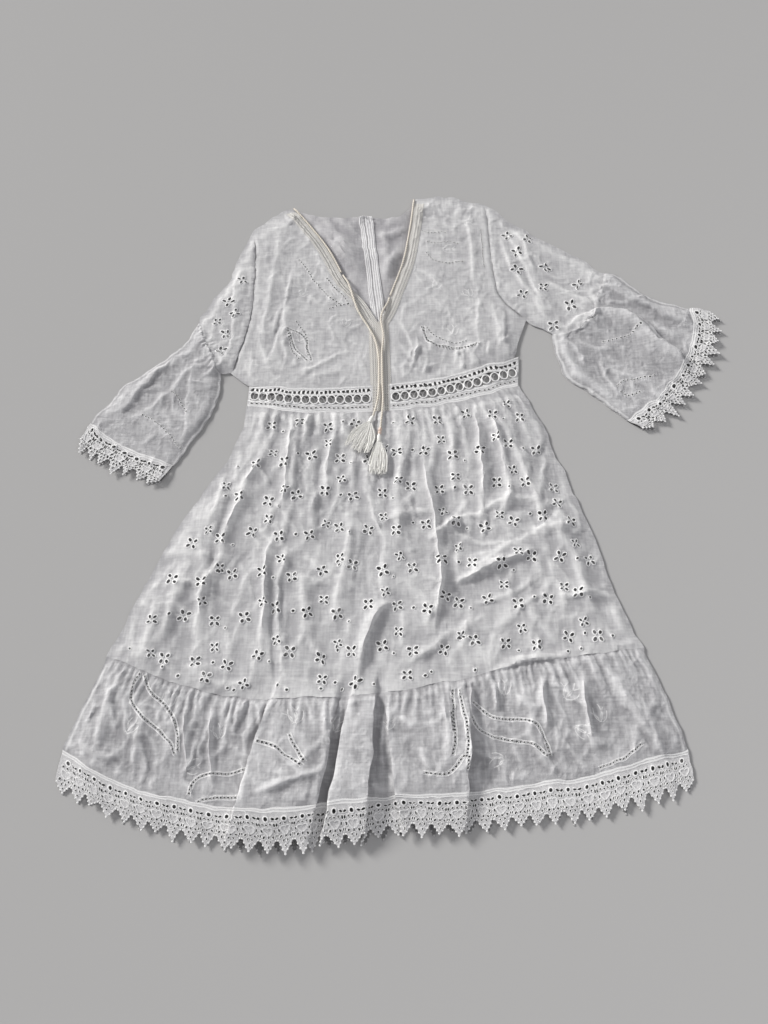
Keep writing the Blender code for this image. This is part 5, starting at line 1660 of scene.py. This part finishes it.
def band(node, left, right, height, rings, finish, thread, shift=0.0):
    """A piece of the waistband: rows of squares, of rings and of small holes between tape edges."""
    def place(x, part):
        return np.array((x, seam_y(WAIST_LOW_LINE, x) * (1 - part) + seam_y(WAIST_TOP_LINE, x) * part))

    def turn(x):
        way = place(x + 0.005, 0.5) - place(x - 0.005, 0.5)
        return math.atan2(way[1], way[0])

    holes, rails, slots, extra = [], [], [], []
    count = round((right - left - 0.006) / RING_STEP)
    if rings:
        circle = np.linspace(0, 2 * math.pi, 21)
        for number in range(count):
            x = left + 0.003 + (right - left - 0.006) * (number + 0.5 + shift) / count
            if x > right - 0.006:
                continue
            spot = place(x, 0.5)
            ring = np.stack([spot[0] + 0.0062 * np.cos(circle), spot[1] + 0.0071 * np.sin(circle)], axis=-1)
            high = height(ring)[0] + (0.0008 if number % 2 else 0.0012)
            path = moved(np.column_stack([ring, high]))
            extra.append(tube_piece("ring", path, 0.0009, 6, thread, close=False))
            for step in (x - RING_STEP / 4, x + RING_STEP / 4):
                holes.append((place(step, 0.812), turn(x) + math.pi / 4, (0.0056, 0.0050), 4, 0.0004, 0.0003))
                holes.append((place(step, 0.185), turn(x), (0.0036, 0.0026), 8, 0.0006, 0.0004))
        across = np.linspace(left + 0.0035, right - 0.0035, count * 3)
        slots = [np.array([place(x, 0.335) for x in across] + [place(x, 0.665) for x in across[::-1]])]
        for part in (0.03, 0.09, 0.955, 0.715, 0.285):
            spread = np.linspace(left + 0.001, right - 0.001, max(6, count * 4))
            rails.append((np.array([place(x, part) for x in spread]), *LACE_RAIL))
    else:
        middle = (left + right) / 2
        for out in both_ways(TRIM_ROWS):
            line = np.array([place(middle + out, part) for part in np.linspace(0.03, 0.97, 16)])
            rails.append((line, TRIM_RAIL, TRIM_HIGH))
        for out in both_ways(TRIM_DOTS):
            holes.extend((place(middle + out, part), *DOT) for part in np.linspace(0.08, 0.92, 9))
    loop = np.vstack([stretch(WAIST_LOW_LINE, left, right), stretch(WAIST_TOP_LINE, left, right)[::-1]])
    return panel(node, loop, FINE, height, finish, holes, rails, ending="lace", slots=slots,
                 with_pieces=[fitted(joined(f"{node}_rings", extra))] if extra else ())


def both_ways(outs):
    """Distances from a middle line to both of its sides."""
    return [-out for out in outs[::-1]] + list(outs)


# Cords, tassels and beads
def tassel(side, chance):
    """A bound head with fine strands that spread to their ends."""
    head, ends = moved(TASSELS[side][:2])
    spread = TASSELS[side][2]
    up = np.array((0, 0, 1.0))
    way = ends - head
    reach = np.linalg.norm(way)
    way = way / reach
    over = np.cross(way, up)
    over /= np.linalg.norm(over)
    neck = [head + way * step for step in (-0.0015, 0.0, 0.0015, 0.004, 0.0075, 0.0105)]
    parts = [tube_piece("head", neck, [0.0015, 0.0020, 0.0028, 0.0032, 0.0027, 0.0030], 14, THREAD)]
    for turn in range(4):
        middle = head + way * (0.0070 + turn * 0.0007)
        ring = [middle + over * math.cos(a) * 0.0029 + up * math.sin(a) * 0.0025
                for a in np.linspace(0, 2 * math.pi, 15)]
        parts.append(tube_piece("binding", ring, 0.00045, 6, THREAD, close=False))
    for number in range(STRANDS):
        across = chance.uniform(-1, 1)
        layer = chance.uniform(-1, 1)
        start = head + way * 0.009 + over * across * 0.0022 + np.array((0, 0, layer * 0.0012))
        far = head + way * (reach + chance.uniform(-0.009, 0.006) - 0.004 * abs(across))
        far = far + over * across * spread * 0.5 * (0.9 + 0.1 * abs(across)) + np.array((0, 0, layer * 0.0014))
        bow = over * chance.uniform(-0.0025, 0.0025) + over * across * spread * 0.10
        path = [start * (1 - s) + far * s + bow * math.sin(math.pi * s)
                + over * 0.0006 * math.sin(9 * s + number) for s in np.linspace(0, 1, 7)]
        parts.append(tube_piece("strand", path, 0.00044, 5, THREAD))
    return fitted(joined(f"tassel_threads_{side}", parts), f"tassel_{side}")


# Camera and cords
camera = bpy.data.objects.new("camera", bpy.data.cameras.new("camera"))
bpy.context.collection.objects.link(camera)
camera.location = (-MIDDLE[0], -MIDDLE[1], CAMERA_HIGH)
camera.rotation_euler = (math.radians(CAMERA_TILT), 0.0, 0.0)
camera.data.lens = CAMERA_LENS
camera.data.sensor_width = 36.0
bpy.context.scene.camera = camera

chance = random.Random(7)
threads_left = tassel("left", chance)
threads_right = tassel("right", chance)
beads = []
for number, place in enumerate(moved(BEADS), 1):
    size = BEAD_SIZE / 2
    path = [place + np.array((0, -1.0, 0)) * size * part for part, _ in BEAD_PROFILE]
    bead = tube_piece(f"bead_{number}_wood", path, [size * wide for _, wide in BEAD_PROFILE], 24, WOOD)
    beads.append(fitted(bead, f"bead_{number}"))
for side, through, going in (("left", (), [threads_left]), ("right", BEADS, [threads_right] + beads)):
    x, y, z = TASSELS[side][0]
    line = moved(curve(TIES[side] + through + ((x, y, z), (x - 0.0012, y - 0.0060, z)), 110))
    cord = fitted(tube_piece(f"tie_{side}_cord", line, CORD / 2, 12, CORDING), f"tie_{side}")
    path = [tuple(spot) for spot in line.tolist()]
    long_of(line)

for side, sign in (("left", 1), ("right", -1)):
    line = curve(NECK[side], 120)
    run = np.linspace(NECK_CORD_START, NECK_CORD_PART[side], 70)
    edge = at_shares(line, run)
    way = at_shares(line, np.minimum(run + 0.004, 1.0)) - edge
    way /= np.linalg.norm(way, axis=1)[:, None]
    edge = edge + np.stack([-way[:, 1], way[:, 0]], axis=-1) * NECK_CORD_OFF * sign
    high = NECK_CORD_HIGH[0] + (NECK_CORD_HIGH[1] - NECK_CORD_HIGH[0]) * ease(np.arange(len(run)) / 4.0)
    cord = tube_piece(f"neck_cord_{side}_twist", moved(np.column_stack([edge, high])), CORD / 2, 12, CORDING)
    fitted(cord, f"neck_cord_{side}")


def cuff(layer, side, height, finish, thread):
    """Lace edging of a cuff."""
    lace_strip(f"{layer}_cuff_lace_{side}", SLEEVE[side]["lace_seam"], SLEEVE[side]["points"], height, finish,
               thread, CUFF_DEEP, CUFF_OPEN)


# The back
waist_left, waist_right = WAIST_LOW[0][0] + 0.001, WAIST_LOW[-1][0] - 0.001
skirt_outline, ruffle_outline = body_outline(RUFFLE_LINE, WAIST_LOW_LINE), body_outline(LACE_LINE, RUFFLE_LINE)
for side in NECK:
    panel(f"back_bodice_{side}", bodice_outline(side, False), NECK_STEP, back_bodice, NECK_CLOTH_IN_PAINTED_SHADE)
band("back_waistband", waist_left, waist_right, back, True, LACE_IN_DEEP_PAINTED_SHADE, SHADED_STITCHES, 0.3)
panel("back_skirt", skirt_outline, COARSE, back, BACK_CLOTH)
panel("back_ruffle", ruffle_outline, COARSE, back, BACK_CLOTH)
lace_strip("back_hem_lace", LACE_SEAM, HEM, back, SHADED_LACE, SHADED_STITCHES, HEM_DEEP)
for side in SLEEVE:
    upper, flare = sleeve_outlines(side)
    panel(f"back_sleeve_{side}", upper, COARSE, back, BACK_CLOTH)
    panel(f"back_flare_{side}", flare, COARSE, back, BACK_CLOTH)
    cuff("back", side, back, SHADED_LACE, SHADED_STITCHES)

# The front below the waist
panel("front_skirt", skirt_outline, SKIRT_STEP, skirt, COTTON,
      seam_row(flowers(skirt_outline, 0.016, 3), skirt_outline), guides(0.15, 0.60))
holes, rails = stitching(RUFFLE_LEAVES, ())
rails.extend(rail for row in RUFFLE_SPRAYS for rail in spray(*row))
for way, column in ((1, 0), (-1, 1)):
    y = np.linspace(seam_y(LACE_LINE, way * -0.35) + 0.004, seam_y(RUFFLE_LINE, way * -0.33) - 0.006, 40)
    rails.append((np.column_stack([sides_at(y)[column] + way * 0.0045, y]), *SIDE_RAIL))
panel("front_ruffle", ruffle_outline, FINE, ruffle, VOILE, holes, rails + guides(0.02, 0.22))
lace_strip("front_hem_lace", LACE_SEAM, HEM, hem, LACE, STITCHES, HEM_DEEP)
left, right = CENTRE_FRONT - CENTRE_STRIP / 2, CENTRE_FRONT + CENTRE_STRIP / 2
band("front_waistband_left", waist_left, left, flat_body, True, LACE, STITCHES)
band("front_waistband_centre", left, right, flat_body, False, TRIMMING, STITCHES)
band("front_waistband_right", right, waist_right, flat_body, True, LACE, STITCHES)

# The front of the sleeves
for side in SLEEVE:
    upper, flare = sleeve_outlines(side)
    front = sleeve(side)
    on_sleeve = [spot for spot in SLEEVE_FLOWERS[side] if well_inside(spot, upper, 0.0105)]
    on_flare = [spot for spot in FLARE_FLOWERS[side] if well_inside(spot, flare, 0.0090)]
    panel(f"front_sleeve_{side}", upper, SLEEVE_STEP, front, COTTON,
          placed_flowers(on_sleeve, 5, SLEEVE_FLOWER_SCALE[side]))
    holes, rails = stitching(SLEEVE_LEAVES[side], SLEEVE_DOTS[side])
    seam = curve(SLEEVE[side]["flare_seam"], 60)[3:-3]
    down = np.mean(SLEEVE[side]["lace_seam"], axis=0) - seam.mean(axis=0)
    rails.append((seam + down / np.linalg.norm(down) * 0.0036, *SEAM_RAIL))
    holes.extend(placed_flowers(on_flare, 6, 0.85))
    for name in ("flare_outer", "flare_inner"):
        line = curve(SLEEVE[side][name], 60)
        rails.append((line + (flare.mean(axis=0) - line) * 0.030, *SIDE_RAIL))
    # Whiter rails along the fold edges on the flare: partly doubled sheer cloth, partly painted highlight
    for spots, _, high in SLEEVE_STEPS[side]:
        line = curve(spots, 60)
        line = line[inside(line, flare) & (from_edge(line, flare) > 0.007) & (beside(line, seam)[0] > 0.010)]
        if len(line) > 5 and high > 0.004:
            rails.append((line, *FOLD_RAIL))
    panel(f"front_flare_{side}", flare, FINE, front, VOILE, holes, rails)
    cuff("front", side, front, LACE, STITCHES)

# The bodice, its trimming, the lace down the centre front and the strips of the opening
for side, sign in (("left", -1), ("right", 1)):
    leaves, dots, sprayed = ([row for row in rows if row[0][0] * sign > 0]
                             for rows in (BODICE_LEAVES, BODICE_DOTS, BODICE_SPRAYS))
    holes, rails = stitching(leaves, dots)
    rails.extend(rail for row in sprayed for rail in spray(*row))
    panel(f"front_bodice_{side}", bodice_outline(side, True), FINE, bodice, COTTON, holes, rails)
    neck = curve(NECK[side], 90)[4:]
    way = np.array((sign, -0.15)) * NECK_TRIM
    trim = np.vstack([neck, (neck + way)[::-1]])[::sign]
    panel(f"neck_trim_{side}", trim, TRIM_STEP, bodice, TRIMMING,
          dots_beside(neck, way, range(3, len(neck) - 3), (0.44, 0.72)),
          rows_beside(neck, way, (0.30, 0.58, 0.86), 0.0003), up=TRIM_UP, ending="ribbon")
    way = np.array((sign, 0.0))
    centre, long_centre = centre_front(20), centre_front(60)
    strip = np.vstack([centre, (centre + way * FRONT_LACE / 2)[::-1]])
    panel(f"front_lace_{side}", strip, TRIM_STEP, bodice, TRIMMING,
          dots_beside(long_centre, way, range(6, 57, 2), TRIM_DOTS),
          rows_beside(long_centre[:-1], way, TRIM_ROWS, TRIM_HIGH), up=TRIM_UP, ending="strip")
    line = curve(OPENING[:4], 120)
    wide = np.array((sign * {"left": STRIP_WIDE, "right": STRIP_WIDE * 1.5}[side], 0.0))
    strip = np.vstack([line + way * 0.0004, (line + wide)[::-1]])
    panel(f"opening_strip_{side}", strip, TAPE_STEP, back_bodice, TAPE_CLOTH, (),
          rows_beside(line, wide, (0.22, 0.52, 0.80), 0.0005), up=TAPE_UP, ending="tape")

# Floor and light
bpy.ops.object.select_all(action="DESELECT")
bpy.ops.mesh.primitive_plane_add(size=FLOOR_SIZE, location=(0.0, 0.0, -FLOOR_GAP))
floor = bpy.context.object
floor.name = "floor"
paint = Finish("floor")
floor.data.materials.append(paint.surface(Base_Color=(0.43, 0.425, 0.42, 1.0), Roughness=0.9))


def lit(name, kind, place, power, colour, **settings):
    """A light that looks at the middle of the dress."""
    made = bpy.data.lights.new(name, kind)
    made.energy = power
    made.color = colour
    for word, value in settings.items():
        setattr(made, word, value)
    stand = bpy.data.objects.new(name, made)
    stand.location = place
    stand.rotation_euler = (-stand.location).to_track_quat("-Z", "Y").to_euler()
    bpy.context.collection.objects.link(stand)


lit("window", "SUN", (-2.4, 1.7, 1.22), 4.1, (1.0, 0.99, 0.97), angle=math.radians(13))
lit("fill", "AREA", (1.6, -1.2, 2.6), 20.0, (0.96, 0.97, 1.0), shape="SQUARE", size=2.5)
world = bpy.data.worlds.new("room")
world.use_nodes = True
world.node_tree.nodes["Background"].inputs["Color"].default_value = (0.93, 0.93, 0.96, 1.0)
world.node_tree.nodes["Background"].inputs["Strength"].default_value = 0.38
bpy.context.scene.world = world
bpy.context.scene.view_settings.view_transform = "Standard"
